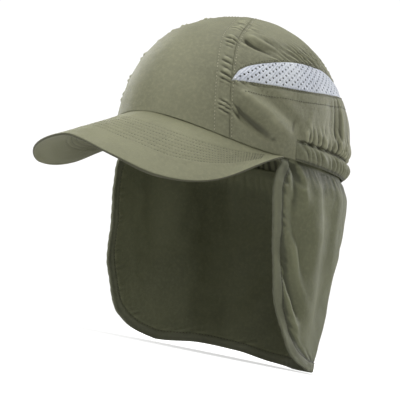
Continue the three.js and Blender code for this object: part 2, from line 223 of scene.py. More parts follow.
@dataclass(frozen=True)
class CapForm:
    """Named sizes of the cap and its surfaces, the same as in the solids."""

    head_width: float = 0.158
    head_length: float = 0.202
    crown_height: float = 0.107
    forehead_rise: float = 0.012
    cloth: float = 0.0012
    vent_cloth: float = 0.0008
    vent_sink: float = 0.0004
    seam_gap: float = 0.0003
    gap_share: float = 0.2  # of the solids' clearance, left between the cloths
    seam_at_rim: float = 46.5
    seam_at_top: float = 30.5
    visor_end: float = 72.0
    visor_reach: float = 0.071
    visor_width: float = 0.157
    visor_thickness: float = 0.0026
    visor_drop: float = 0.032
    casing_start: float = 0.254
    casing_height: float = 0.015
    casing_bulge: float = 0.0024
    gather_depth: float = 0.0011
    flap_drop: float = 0.148
    flap_tuck: float = 0.004
    hem_thickness: float = 0.0026
    tip: float = 0.985
    visor_tuck: float = 0.0002  # how far the visor's inner edge reaches up into the crown
    visor_side_power: float = 0.7
    visor_front_power: float = 0.86
    flap_spread: float = 1.06  # how much wider the flap's round is than the rim
    flap_corner: float = 117.0  # angle where the front edge has run into the bottom edge

    sections: Table = Table(("row", "rise", "front", "side", "back"), (
        (0, 0.0, 1.0, 1.0, 1.0), (1, 0.26, 0.98, 0.96, 1.03), (2, 0.5, 0.9, 0.88, 0.94),
        (3, 0.707, 0.74, 0.745, 0.695), (4, 0.866, 0.485, 0.56, 0.47), (5, 0.966, 0.23, 0.285, 0.25),
        (6, 1.0, 0.0, 0.0, 0.0),
    ))
    vent_edges: Table = Table(("place", "seam", "vent"), (
        (0.0, 0.26, 0.0), (0.03, 0.272, 0.058), (0.1, 0.291, 0.102),
        (0.215, 0.315, 0.138), (0.33, 0.334, 0.15), (0.45, 0.362, 0.132),
        (0.565, 0.384, 0.1), (0.71, 0.404, 0.062), (0.88, 0.417, 0.0),
        (1.0, 0.42, 0.0),
    ))
    visor_edge_drop: Table = Table(
        ("turn", "drop"),
        ((0, 0.62), (22.5, 0.935), (45, 1.165), (67.5, 0.93), (90, 0.0)),
    )
    crown_folds: Table = Table(("angle", "up", "to_angle", "to_up", "width", "depth"), (
        (47, 0.15, 67, 0.065, 0.042, -0.036), (52, 0.21, 74, 0.11, 0.055, 0.028),
        (60, 0.26, 80, 0.15, 0.05, -0.014), (43, 0.505, 62, 0.485, 0.045, -0.02),
        (41, 0.6, 66, 0.57, 0.06, 0.016), (112, 0.12, 116, 0.34, 0.045, 0.02),
        (102, 0.12, 104, 0.3, 0.045, -0.016), (145, 0.12, 141, 0.36, 0.06, 0.014),
        (160, 0.12, 164, 0.32, 0.05, -0.014),
    ))
    flap_sections: Table = Table(("drop", "side", "back", "edge"), (
        (0.0, 1.0, 1.0, 72.9), (0.03, 1.02, 1.025, 72.4), (0.08, 1.06, 1.055, 70.2),
        (0.15, 1.085, 1.07, 69.2), (0.27, 1.095, 1.076, 71.0), (0.41, 1.1, 1.05, 73.3),
        (0.54, 1.1, 1.03, 76.0), (0.68, 1.1, 1.0, 79.6), (0.81, 1.11, 0.97, 85.5),
        (0.88, 1.115, 0.955, 90.5), (0.93, 1.12, 0.95, 96.5), (0.97, 1.125, 0.95, 104.5),
        (1.0, 1.125, 0.955, 117.0),
    ))
    flap_folds: Table = Table(("angle", "to_angle", "width", "depth", "deepest"), (
        (85, 97, 4.5, -0.022, 0.28), (93, 108, 5.5, 0.02, 0.3), (103, 122, 6.5, -0.018, 0.45),
        (119, 138, 9, 0.022, 0.7), (142, 156, 10, -0.028, 0.85), (168, 176, 11, 0.02, 0.8),
        (196, 190, 10, -0.02, 0.75), (222, 208, 11, 0.03, 0.9), (244, 228, 8, -0.018, 0.6),
        (262, 250, 7, 0.014, 0.4),
    ))
    hem_wave: Table = Table(("angle", "lift"), (
        (100, 0.0), (120, 0.0), (142, -0.008),
        (180, 0.002), (198, 0.022), (222, 0.026),
        (240, 0.0), (260, 0.0),
    ))
    # sharper creases than the solids carry, measured as crown_folds are
    fine_creases: Table = Table(("angle", "up", "to_angle", "to_up", "width", "depth"), (
        (40, 0.525, 62, 0.475, 0.017, -0.034), (40, 0.56, 64, 0.515, 0.022, 0.02),
        (39, 0.6, 58, 0.59, 0.012, -0.01), (39, 0.63, 56, 0.63, 0.014, 0.01),
        (41, 0.49, 54, 0.46, 0.014, 0.012), (52, 0.56, 70, 0.52, 0.018, -0.01),
        (44, 0.15, 66, 0.065, 0.05, -0.028), (45, 0.13, 58, 0.07, 0.024, -0.01),
        (44, 0.24, 68, 0.14, 0.035, 0.022), (44, 0.3, 60, 0.26, 0.016, -0.008),
        (62, 0.15, 76, 0.09, 0.024, 0.01), (76, 0.1, 79, 0.2, 0.018, -0.01),
        (84, 0.1, 90, 0.26, 0.024, 0.012), (96, 0.1, 101, 0.3, 0.02, -0.01),
        (106, 0.1, 109, 0.4, 0.013, -0.016), (111, 0.1, 114, 0.42, 0.014, 0.02),
        (117, 0.1, 120, 0.4, 0.012, -0.016), (122, 0.1, 125, 0.4, 0.014, 0.014),
        (150, 0.1, 152, 0.3, 0.018, 0.01), (170, 0.1, 168, 0.28, 0.018, -0.01),
    ))
    # creases of the flap: from one angle and share of the drop to another
    flap_creases: Table = Table(("angle", "drop", "to_angle", "to_drop", "width", "depth"), (
        (77, -0.01, 85, 0.13, 0.022, -0.034), (75, 0.03, 80, 0.2, 0.02, 0.014),
        (79, 0.05, 84, 0.42, 0.034, -0.02), (83, 0.06, 99, 0.5, 0.045, 0.028),
        (99, 0.04, 106, 0.4, 0.04, -0.014), (76, 0.4, 97, 0.78, 0.034, -0.034),
        (80, 0.36, 100, 0.72, 0.03, 0.022), (79, 0.66, 98, 0.93, 0.028, -0.028),
        (83, 0.62, 102, 0.9, 0.026, 0.02), (112, 0.0, 118, 0.5, 0.04, 0.012),
        (124, 0.0, 128, 0.4, 0.034, -0.01), (138, 0.0, 143, 0.45, 0.045, 0.008),
        (156, 0.0, 160, 0.5, 0.045, -0.008), (180, 0.0, 178, 0.5, 0.045, 0.008),
        (204, 0.0, 200, 0.45, 0.045, -0.008), (228, 0.0, 220, 0.45, 0.045, 0.007),
        (250, 0.0, 244, 0.45, 0.04, -0.006), (268, 0.02, 262, 0.4, 0.035, 0.005),
    ))

    @property
    def rim_step(self) -> float:
        """Metres along the rim for one degree."""
        return math.pi * (self.head_width + self.head_length) / 720

    @property
    def crown_arc(self) -> float:
        """Metres up the cloth from rim to apex, about."""
        return self.crown_height * math.pi / 2

    @property
    def panel_length(self) -> float:
        """Metres along the rim from the front seam to the centre back."""
        return (180 - self.seam_at_rim) * self.rim_step

    @property
    def casing_up(self) -> float:
        """Share of the way up that the casing reaches."""
        return 2 / math.pi * math.asin(self.casing_height / self.crown_height)

    @property
    def gap_up(self) -> float:
        """Half of the seam clearance as a share of the way up, tighter than in the solids."""
        return self.gap_share * self.seam_gap / 2 / self.crown_arc

    def section(self, up: Array) -> tuple[Array, Array, Array, Array]:
        """Level section of the crown.

        Args:
            up: Share of the way up.

        Returns:
            Rise, front, side and back, as in the table.
        """
        last = len(self.sections.rows) - 1
        rows = np.array(self.sections.rows)[:, 1:]
        below = 2 * rows[0] - rows[1]
        above = rows[last - 1] * np.array([1, -1, -1, -1])
        rows = np.vstack([below, rows, above])
        at = np.clip(up, 0, 1) * last
        k = np.minimum(np.floor(at).astype(int), last - 1)
        t = (at - k)[..., None]
        a, b, c, d = rows[k], rows[k + 1], rows[k + 2], rows[k + 3]
        out = 0.5 * (
            2 * b + (c - a) * t + (2 * a - 5 * b + 4 * c - d) * t**2 + (3 * b - a - 3 * c + d) * t**3
        )
        return out[..., 0], out[..., 1], out[..., 2], out[..., 3]

    def rim_height(self, angle: Array) -> Array:
        """Height of the rim at an angle: it arches up between the two ends of the visor."""
        away = np.minimum(np.abs(angle), 360 - np.abs(angle))
        return self.forehead_rise * 0.5 * (1 + np.cos(np.pi * np.minimum(away / self.visor_end, 1)))

    def crown(self, angle: Array, up: Array) -> Array:
        """Point of the plain crown, before any folds.

        Args:
            angle: Angle round the head.
            up: Share of the way up.

        Returns:
            Points.
        """
        angle, up = np.broadcast_arrays(np.asarray(angle, float), np.asarray(up, float))
        rise, front, side, back = self.section(up)
        cosine = np.cos(np.radians(angle))
        return np.stack([
            self.head_width / 2 * np.sin(np.radians(angle)) * side,
            -self.head_length / 2 * cosine * np.where(cosine > 0, front, back),
            self.rim_height(angle) * (1 - rise) + self.crown_height * rise,
        ], axis=-1)

    def crown_normal(self, angle: Array, up: Array) -> Array:
        """Outward direction of the plain crown.

        Args:
            angle: Angle round the head.
            up: Share of the way up.

        Returns:
            Unit normals.
        """
        angle, up = np.broadcast_arrays(np.asarray(angle, float), np.asarray(up, float))
        at = np.clip(up, 0.002, 0.99)
        along = self.crown(angle + 0.2, at) - self.crown(angle - 0.2, at)
        rising = self.crown(angle, at + 0.002) - self.crown(angle, at - 0.002)
        out = unit(np.cross(along, rising))
        out[up > 0.992] = (0, 0, 1)
        return out

    def seam_angle(self, up: Array) -> Array:
        """Angle of the front seam at a share of the way up."""
        return self.seam_at_rim + (self.seam_at_top - self.seam_at_rim) * np.asarray(up, float)

    def gap_angle(self, up: Array) -> Array:
        """Half of the seam clearance as an angle, tighter than in the solids."""
        p = self.crown(self.seam_angle(up), up)
        return np.degrees(self.gap_share * self.seam_gap / 2 / np.hypot(p[..., 0], p[..., 1]))

    def back_angle(self, place: Array, up: Array) -> Array:
        """Angle behind the front seams: place 0 is the left seam, 1 centre back, 2 the right seam.

        Args:
            place: Place behind the front seams.
            up: Share of the way up.

        Returns:
            Angles from 0 to 360.
        """
        seam = self.seam_angle(up) + self.gap_angle(up)
        near = np.where(place <= 1, place, 2 - place)
        angle = seam + (180 - seam) * near
        return np.where(place <= 1, angle, 360 - angle)

    def back_place(self, angle: Array) -> Array:
        """Place from the nearer front seam, 0, to the centre back, 1, at the rim."""
        mirrored = np.where(angle > 180, 360 - angle, np.abs(angle))
        return (mirrored - self.seam_at_rim) / (180 - self.seam_at_rim)

    def vent_seam(self, place: Array) -> Array:
        """Share of the way up of the side fabric's lower edge."""
        return self.vent_edges.through("seam", np.where(place <= 1, place, 2 - place))

    def vent_top(self, place: Array) -> Array:
        """Share of the way up of the side fabric's upper edge."""
        near = np.where(place <= 1, place, 2 - place)
        return self.vent_seam(place) + np.maximum(0, self.vent_edges.through("vent", near))

    def visor_edge(self, turn: Array) -> Array:
        """Outline of the visor; turn goes from -90 at its right end to 90 at its left end.

        Args:
            turn: Way round the outline, in degrees.

        Returns:
            Points.
        """
        sine, cosine = np.sin(np.radians(turn)), np.cos(np.radians(turn))
        end = -self.head_length / 2 * math.cos(math.radians(self.visor_end))
        length = self.visor_reach + self.head_length / 2 + end
        return np.stack([
            self.visor_width / 2 * np.sign(sine) * np.abs(sine) ** self.visor_side_power,
            end - length * np.maximum(cosine, 0) ** self.visor_front_power,
            -self.visor_drop * self.visor_edge_drop.through("drop", np.abs(turn)),
        ], axis=-1)

    def visor(self, across: Array, out: Array) -> Array:
        """Upper face of the visor: across from -1 to 1, out from the rim 0 to the edge 1.

        Args:
            across: From -1 at the right end to 1 at the left end.
            out: From the rim 0 to the edge 1.

        Returns:
            Points.
        """
        across, out = np.broadcast_arrays(np.asarray(across, float), np.asarray(out, float))
        angle = np.radians(across * self.visor_end)
        inner = np.stack([
            (self.head_width / 2 - self.cloth) * np.sin(angle),
            -(self.head_length / 2 - self.cloth) * np.cos(angle),
            self.rim_height(np.degrees(angle)) + self.visor_tuck,
        ], axis=-1)
        return inner + (self.visor_edge(across * 90) - inner) * out[..., None]

    def visor_normal(self, across: Array, out: Array) -> Array:
        """Upward direction of the visor's upper face.

        Args:
            across: From -1 at the right end to 1 at the left end.
            out: From the rim 0 to the edge 1.

        Returns:
            Unit normals.
        """
        u, v = np.clip(across, -0.985, 0.985), np.clip(out, 0.02, 0.98)
        along = self.visor(u + 0.01, v) - self.visor(u - 0.01, v)
        outward = self.visor(u, v + 0.01) - self.visor(u, v - 0.01)
        return -unit(np.cross(along, outward))

    def flap(self, angle: Array, drop: Array) -> Array:
        """Outer face of the flap; above drop 0 it is tucked into the crown.

        Args:
            angle: Angle round the head.
            drop: Share of the way down the flap, below 0 in the tuck.

        Returns:
            Points.
        """
        angle, drop = np.broadcast_arrays(np.asarray(angle, float), np.asarray(drop, float))
        up = np.maximum(-drop, 0) * self.flap_drop / self.crown_arc
        layer = self.cloth + self.seam_gap
        tucked = self.crown(angle, up) - self.crown_normal(angle, up) * layer
        at = np.maximum(drop, 0)
        inset = layer * np.maximum(0, 1 - at / 0.03)
        side = self.head_width / 2 * self.flap_sections.through("side", at)
        back = self.head_length / 2 * self.flap_sections.through("back", at)
        push = np.zeros_like(at)
        for start, end, width, depth, deepest in self.flap_folds.rows:
            off = (angle - (start + (end - start) * at)) / width
            push += depth * self.flap_drop * np.exp(-(off**2) - ((at - deepest) / 0.42) ** 2)
        lift = self.flap_drop * at**2 * self.hem_wave.through("lift", angle)
        sine, cosine = np.sin(np.radians(angle)), np.cos(np.radians(angle))
        outward = unit(np.stack([sine / side, -cosine / back, np.zeros_like(sine)], axis=-1))
        hung = np.stack([side * sine, -back * cosine, lift - self.flap_drop * at], axis=-1)
        hung += outward * (push * np.clip(at / 0.12, 0, 1) - inset)[..., None]
        return np.where((drop <= 0)[..., None], tucked, hung)

    def flap_normal(self, angle: Array, drop: Array) -> Array:
        """Outward direction of the flap.

        Args:
            angle: Angle round the head.
            drop: Share of the way down the flap, below 0 in the tuck.

        Returns:
            Unit normals.
        """
        at = np.minimum(drop, 0.99)
        along = self.flap(angle + 0.3, at) - self.flap(angle - 0.3, at)
        falling = self.flap(angle, at + 0.005) - self.flap(angle, at - 0.005)
        return -unit(np.cross(along, falling))

    def flap_edge_distance(self, angle: Array, drop: Array) -> Array:
        """Distance from a place on the flap to its free edge, along the cloth.

        Args:
            angle: Angle round the head.
            drop: Share of the way down the flap, below 0 in the tuck.

        Returns:
            Metres.
        """
        mirrored = np.where(angle > 180, 360 - angle, angle)
        best = (1 - drop) * self.flap_drop + np.where(mirrored < self.flap_corner, 1.0, 0.0)
        for at in np.linspace(0, 1, 140):
            edge = float(self.flap_sections.through("edge", at))
            across = (mirrored - edge) * self.rim_step * self.flap_spread
            best = np.minimum(best, np.hypot(across, (drop - at) * self.flap_drop))
        return best


@dataclass(frozen=True)
class ClothWork:
    """How the sewn cloth lies over the form: its folds, puckers, gathers and unevenness."""

    form: CapForm
    strip: float = 0.0115  # from the front seam forward to the second row of stitches
    strip_pucker: float = 0.0019
    strip_pitch: float = 0.0052
    vent_ridge: float = 0.0013
    vent_pitch: float = 0.0042
    band_row: float = 0.0092  # from the vent seam down to the row below it
    ripple: float = 0.0016
    ripple_reach: float = 0.012
    pinch_depth: float = 0.0021  # how far the cloth is drawn in along the casing's top
    lie: float = 0.0005  # slow unevenness of soft cloth
    gather_count: int = 52  # finer than in the solids
    seam_puckers: float = 0.0006  # behind the front seams
    seam_pitch: float = 0.0072
    band_pitch: float = 0.0075
    hem_pitch: float = 0.0078
    flap_depth: float = 1.35  # of the creases in the flap's table
    flap_gathers: float = 0.0006
    relief_reach: float = 0.0024  # how far round a place its relief is judged

    def creases(self, table: Table, angle: Array, up: Array, whole: bool) -> Array:
        """Push of a table of folds, the same on both sides of the head.

        Args:
            table: The folds.
            angle: Angle round the head.
            up: Share of the way up.
            whole: Whether a fold is as deep at its end as at its start, as in the solids.

        Returns:
            Height over the plain crown.
        """
        form = self.form
        mirrored = np.where(angle > 180, 360 - angle, np.abs(angle))
        push = np.zeros(np.broadcast(angle, up).shape)
        for start, low, end, high, width, depth in table.rows:
            dx, dy = (end - start) * form.rim_step, (high - low) * form.crown_arc
            px, py = (mirrored - start) * form.rim_step, (up - low) * form.crown_arc
            t = np.clip((px * dx + py * dy) / (dx * dx + dy * dy), 0, 1)
            off = np.hypot(px - t * dx, py - t * dy) / (width * form.crown_height)
            tapered = (0.2 + 0.8 * step(t, 0, 0.3)) * (1 - t) ** 0.8
            share = 0.55 + 0.45 * np.sin(np.pi * t) if whole else tapered
            push += depth * form.crown_height * np.exp(-(off**2)) * share
        seam = np.clip((mirrored - form.seam_angle(up)) / 5, 0, 1)
        return push * seam * np.clip(up / 0.06, 0, 1)

    def gathers(self, place: Array, slant: Array | float = 0.0) -> Array:
        """Wave of the gathers round the back, from -1 in a crease to 1 on a puff.

        Args:
            place: From the left front seam, 0, over the centre back, 1, to the right one, 2.
            slant: How many gathers the creases run on towards the centre back.

        Returns:
            The wave, slighter near the casing's two ends.
        """
        form = self.form
        start = form.casing_start
        along = (place - start) / (2 - 2 * start)
        way = np.clip((1 - place) / 0.08, -1, 1)
        drift = 0.3 * wander(along * 10, 2.2, 11) + 0.12 * wander(along * 40, 2.0, 12)
        phase = np.pi * (self.gather_count * along + 1.6 * drift + slant * way)
        wave = 2 * np.abs(np.sin(phase)) ** 0.8 - 1 + 0.25 * np.sin(4 * phase + 1.0)
        uneven = 0.75 + 0.35 * wander(along * 10, 0.9, 13)
        near = np.where(place <= 1, place, 2 - place)
        return wave * uneven * (0.6 + 0.4 * step(near, start + 0.04, start + 0.2))

    def pinch(self, over: Array, place: Array) -> Array:
        """How far the cloth is drawn in near the casing's top line, and swells above it.

        Args:
            over: Metres above the casing's top line.
            place: Place behind the front seam.

        Returns:
            Height over the plain crown.
        """
        near = np.where(place <= 1, place, 2 - place)
        held = step(near, self.form.casing_start - 0.012, self.form.casing_start + 0.05)
        drawn = self.pinch_depth * (0.55 * bell(over, 0.0034) + 0.45 * bell(over, 0.0013))
        wavy = 1 + 0.3 * wander(near * self.form.panel_length, 0.012, 14)
        return held * (0.0009 * bell(over - 0.0085, 0.006) - drawn * wavy)

    def crown(self, angle: Array, up: Array) -> Array:
        """How far the crown cloth stands out at a place, folds and all.

        Args:
            angle: Angle round the head.
            up: Share of the way up.

        Returns:
            Height over the plain crown, in metres.
        """
        form = self.form
        angle, up = np.broadcast_arrays(np.asarray(angle, float), np.asarray(up, float))
        side = np.where((angle > 180) | (angle < 0), 1.0, 0.0)
        mirrored = np.where(angle > 180, 360 - angle, np.abs(angle))
        height = up * form.crown_arc
        _, front, flank, back = form.section(up)
        degree = form.rim_step * np.maximum((flank + 0.5 * (front + back)) / 2, 0.05)
        behind = (mirrored - form.seam_angle(up)) * degree
        place = np.clip(form.back_place(mirrored), 0, 1)
        along = place * form.panel_length
        quiet = step(up, 0.97, 0.8)

        push = self.creases(form.crown_folds, angle, up, True)
        push += self.creases(form.fine_creases, angle, up, False)
        # the strip ahead of the front seam
        ahead = -behind
        run = height - 0.28 * ahead + 0.0016 * wander(height + side, 0.024, 21)
        puffs = 2 * np.abs(np.sin(np.pi * run / self.strip_pitch)) ** 0.7 - 1.2
        ease = np.clip(0.5 + 0.75 * wander(height + side, 0.019, 22), 0.05, 1.1)
        ease = ease * step(up, 0.04, 0.13) * step(up, 0.95, 0.6)
        push += self.strip_pucker * bell(ahead - 0.4 * self.strip, 0.0036) * puffs * ease
        push -= 0.0003 * (bell(ahead - self.strip, 0.0009) + bell(behind - 0.0017, 0.0009)) * quiet
        push += 0.0003 * bell(ahead - 0.0035, 0.0025) * quiet
        # small puckers behind the front seam
        run = height + 0.7 * behind + 0.0014 * wander(height + side, 0.024, 23)
        wave = 2 * np.abs(np.sin(np.pi * run / self.seam_pitch)) ** 0.8 - 1.2
        push += self.seam_puckers * bell(behind - 0.0055, 0.0048) * wave * ease
        # diagonal ridges over the side fabric
        over = height - form.vent_top(place) * form.crown_arc
        inside = step(place, 0.04, 0.22) * step(place, 0.85, 0.6)
        drift = 0.0013 * wander(along + 0.6 * over + side, 0.03, 24)
        phase = (0.6 * along + 0.8 * over + drift) / self.vent_pitch
        ridges = bell(over - 0.009, 0.013) * (1.1 - 2 * np.abs(np.sin(np.pi * phase)) ** 0.7)
        push += self.vent_ridge * ridges * inside * (0.6 + 0.4 * wander(over + along, 0.02, 25))
        push -= 0.0003 * bell(over - 0.0016, 0.0009) * step(place, 0.0, 0.02)
        # the band under the side fabric, with its second row
        under = form.vent_seam(place) * form.crown_arc - height
        drawn = bell(under - 0.0009, 0.0008) + 0.35 * bell(under - self.band_row, 0.001)
        push -= 0.0004 * drawn * step(place, 0, 0.04)
        run = along + 0.4 * under + 0.003 * wander(along + side, 0.03, 26)
        wave = np.sin(2 * np.pi * run / self.band_pitch)
        push += 0.00012 * bell(under - 0.0055, 0.0045) * wave * step(place, 0.03, 0.1)
        # ripples that rise out of the casing
        over = height - form.casing_height
        held = step(place, form.casing_start - 0.01, form.casing_start + 0.05)
        full = np.where(side > 0, 2 - place, place)
        wave = self.gathers(full, 1.3 + 55.0 * over)
        fade = bell(np.maximum(over, 0), self.ripple_reach)
        fade = fade * (0.25 + 0.75 * step(over, 0.0, 0.0018))
        push += self.ripple * wave * fade * held * (over > -0.001)
        push += self.pinch(over, full)
        # soft cloth is nowhere quite even
        points = form.crown(angle, up)
        back_cloth = step(behind, -0.004, 0.006)
        push += self.lie * swell(points, 0.055, 31) * (0.5 + 0.5 * back_cloth) * step(up, 0.0, 0.1)
        fine = 0.3 * self.lie * swell(points, 0.018, 32, 22)
        push += fine * (0.25 + 0.75 * back_cloth) * step(up, 0.0, 0.05)
        return push * quiet

    def flap(self, angle: Array, drop: Array) -> Array:
        """How far the flap's cloth stands out from its plain folds, in metres.

        Args:
            angle: Angle round the head.
            drop: Share of the way down the flap, below 0 in the tuck.

        Returns:
            Height over the plain flap.
        """
        form = self.form
        place = np.clip(form.back_place(angle), 0, 1)
        below = np.maximum(drop, 0) * form.flap_drop
        held = step(place, form.casing_start - 0.02, form.casing_start + 0.03)
        full = np.where(angle > 180, 2 - place, place)
        wave = self.gathers(full, -40.0 * below)
        push = self.flap_gathers * (wave - 0.1) * bell(below, 0.012) * held * step(drop, 0.0, 0.03)
        edge = form.flap_edge_distance(angle, np.clip(drop, 0, 1))
        calm = 0.3 + 0.7 * step(edge, 0.004, 0.015)
        for start, low, end, high, width, depth in form.flap_creases.rows:
            dx, dy = (end - start) * form.rim_step, (high - low) * form.flap_drop
            px, py = (angle - start) * form.rim_step, below - low * form.flap_drop
            t = np.clip((px * dx + py * dy) / (dx * dx + dy * dy), 0, 1)
            off = np.hypot(px - t * dx, py - t * dy) / (width * form.flap_drop)
            fold = self.flap_depth * depth * form.flap_drop * np.exp(-(off**2))
            fold = fold * (0.4 + 0.6 * step(t, 0, 0.25)) * (1 - t) ** 0.7
            push += fold * calm * step(drop, 0.0, 0.02)
        run = below - 0.5 * angle * form.rim_step
        pucker = np.sin(2 * np.pi * (run + 0.003 * wander(run, 0.03, 41)) / self.hem_pitch)
        push += 0.0004 * bell(edge - 0.0105, 0.0035) * pucker * (0.6 + 0.4 * wander(run, 0.04, 42))
        push -= 0.0012 * bell(below - 0.005, 0.006) * held
        points = form.flap(angle, drop)
        push += 0.0009 * swell(points, 0.05, 43) * step(drop, 0.0, 0.15)
        push += 0.0002 * swell(points, 0.016, 44, 22) * step(drop, 0.0, 0.1)
        return push


# Meshes, node trees and finishes


@dataclass
class Shell:
    """A closed shell of cloth between an outer and an inner grid of points."""

    name: str
    outer: Array
    inner: Array
    cloth: Array  # metric place on the cloth, last axis of 2
    edge: Array  # distance to the nearest edge
    relief: Array | None = None  # height over the cloth round it, outer face; the materials turn it into painted shade in creases and painted highlight on ridges
    keep: Array | None = None
    pole: bool = False

    def build(self) -> Piece:
        """Makes the mesh object.

        Returns:
            The object, smooth shaded, with the UV map cloth and the attributes edge and relief.
        """
        n, m = self.edge.shape
        keep = np.ones((n - 1, m - 1), bool) if self.keep is None else self.keep
        ids = np.arange(n * m).reshape(n, m)
        if self.pole:
            ids[:, -1] = ids[0, -1]
        inner = ids + n * m
        a, b, c, d = ids[:-1, :-1], ids[1:, :-1], ids[1:, 1:], ids[:-1, 1:]
        e, f, g, h = inner[:-1, :-1], inner[1:, :-1], inner[1:, 1:], inner[:-1, 1:]
        outer_faces = np.stack([a, b, c, d], -1)[keep]
        inner_faces = np.stack([h, g, f, e], -1)[keep]
        around = np.pad(keep, 1)
        open_low = keep & ~around[1:-1, :-2]
        open_high = keep & ~around[1:-1, 2:]
        open_start = keep & ~around[:-2, 1:-1]
        open_end = keep & ~around[2:, 1:-1]
        if self.pole:
            open_high[:, -1] = False
        rims = np.concatenate(
            [
                np.stack([b, a, e, f], -1)[open_low],
                np.stack([d, c, g, h], -1)[open_high],
                np.stack([a, d, h, e], -1)[open_start],
                np.stack([c, b, f, g], -1)[open_end],
            ]
        )
        faces = np.concatenate([outer_faces, inner_faces, rims])
        uv = self.cloth.reshape(-1, 2)
        uv = np.concatenate([uv, uv])
        shift = np.zeros(len(faces))
        shift[len(outer_faces):] = 2.0
        shift[len(outer_faces) + len(inner_faces):] = -3.0
        used, packed = np.unique(faces, return_inverse=True)
        packed = packed.reshape(faces.shape)
        points = np.concatenate([self.outer.reshape(-1, 3), self.inner.reshape(-1, 3)])[used]
        polygons, corners = [], []
        for face, far in zip(packed.tolist(), shift.tolist()):
            ring = [v for k, v in enumerate(face) if v != face[k - 1]]
            if len(ring) > 2:
                polygons.append(ring)
                corners.extend((v, far) for v in ring)
        mesh = bpy.data.meshes.new(self.name)
        mesh.from_pydata(points.tolist(), [], polygons)
        corners = np.array(corners)
        layer = mesh.uv_layers.new(name="cloth")
        flat = uv[used][corners[:, 0].astype(int)].copy()
        flat[:, 0] += corners[:, 1]
        layer.data.foreach_set("uv", flat.astype(np.float32).ravel())
        edge = np.concatenate([self.edge.ravel(), self.edge.ravel()])[used]
        mesh.attributes.new("edge", "FLOAT", "POINT").data.foreach_set("value", edge.astype(np.float32))
        relief = np.zeros(self.edge.shape) if self.relief is None else self.relief
        relief = np.concatenate([relief.ravel(), -relief.ravel()])[used]
        mesh.attributes.new("relief", "FLOAT", "POINT").data.foreach_set("value", relief.astype(np.float32))
        mesh.shade_smooth()
        mesh.validate()
        mesh.update()
        return placed(self.name, mesh)


def placed(name: str, data: bpy.types.ID) -> Piece:
    """A new object in the scene."""
    made = bpy.data.objects.new(name, data)
    bpy.context.scene.collection.objects.link(made)
    return made


def walled(surface: Array, normal: Array, wall: Array | float, edge: Array,
           radius: float) -> tuple[Array, Array]:
    """Outer and inner face of cloth whose edges are rounded.

    Args:
        surface: Points of the outer face before rounding.
        normal: Outward directions.
        wall: Thickness.
        edge: Distance to the nearest edge.
        radius: Width of the rounding.

    Returns:
        Outer points and inner points.
    """
    share = rounding(edge, radius)
    wall = np.broadcast_to(np.asarray(wall, float), share.shape)
    outer = surface - normal * (wall * (1 - share) / 2)[..., None]
    inner = surface - normal * (wall * (1 + share) / 2)[..., None]
    return outer, inner


def grid_lengths(points: Array) -> tuple[Array, Array]:
    """Metres along the columns and the rows of a grid of points, from its first ones.

    Args:
        points: Grid of points.

    Returns:
        Metres along the columns and along the rows.
    """
    across = np.linalg.norm(np.diff(points, axis=0), axis=-1)
    rising = np.linalg.norm(np.diff(points, axis=1), axis=-1)
    across = np.concatenate([np.zeros((1, points.shape[1])), np.cumsum(across, axis=0)])
    rising = np.concatenate([np.zeros((points.shape[0], 1)), np.cumsum(rising, axis=1)], axis=1)
    return across, rising


class Tree:
    """A small helper that adds nodes to a tree and links them."""

    def __init__(self, tree: NodeTree) -> None:
        """Keeps the tree to work on."""
        self.tree = tree

    def add(self, kind: str, inputs: dict[str | int, object] | None = None,
            **settings: object) -> Node:
        """Adds a node.

        Args:
            kind: Blender's name of the node type.
            inputs: Values or sockets for its inputs, by name or number.
            settings: Its own settings.

        Returns:
            The node.
        """
        node = self.tree.nodes.new(kind)
        for key, value in settings.items():
            setattr(node, key, value)
        for key, value in (inputs or {}).items():
            if isinstance(value, Socket):
                self.tree.links.new(value, node.inputs[key])
            else:
                node.inputs[key].default_value = value
        return node

    def out(self, kind: str, inputs: dict[str | int, object] | None = None, **settings: object) -> Socket:
        """Adds a node as add does and returns its first output."""
        return self.add(kind, inputs, **settings).outputs[0]

    def link(self, source: Socket, target: Socket) -> None:
        """Links one socket to another."""
        self.tree.links.new(source, target)

    def end(self, kind: str, source: Socket) -> None:
        """Adds a tree's output node and links it."""
        self.link(source, self.add(kind).inputs[0])

    def math(self, operation: str, a: object, b: object = 0.0) -> Socket:
        """Adds a Math node and returns its output."""
        return self.add("ShaderNodeMath", {0: a, 1: b}, operation=operation).outputs[0]

    def times(self, a: object, b: object) -> Socket:
        """Multiplies two values."""
        return self.math("MULTIPLY", a, b)

    def plus(self, a: object, b: object) -> Socket:
        """Adds two values."""
        return self.math("ADD", a, b)

    def spread(self, value: object, low: float, high: float, to_low: float = 0.0,
               to_high: float = 1.0) -> object:
        """Adds a clamped smooth Map Range node and returns its output."""
        node = self.add("ShaderNodeMapRange", {0: value, 1: low, 2: high, 3: to_low, 4: to_high},
                        interpolation_type="SMOOTHSTEP")
        return node.outputs[0]

    def mix(self, share: object, a: object, b: object, blend: str = "MIX") -> Socket:
        """Adds a colour Mix node and returns its output."""
        node = self.add("ShaderNodeMix", {0: share, 6: a, 7: b}, data_type="RGBA", blend_type=blend)
        return node.outputs[2]


def blank_material(name: str) -> tuple[Material, Tree]:
    """A new material without nodes, and its tree."""
    material = bpy.data.materials.new(name)
    material.use_nodes = True
    material.node_tree.nodes.clear()
    return material, Tree(material.node_tree)


def linear(colour: Colour) -> tuple[float, float, float, float]:
    """Linear colour of an sRGB colour of 0 to 255."""
    parts = [c / 255 for c in colour]
    parts = [c / 12.92 if c <= 0.04045 else ((c + 0.055) / 1.055) ** 2.4 for c in parts]
    return (*parts, 1.0)


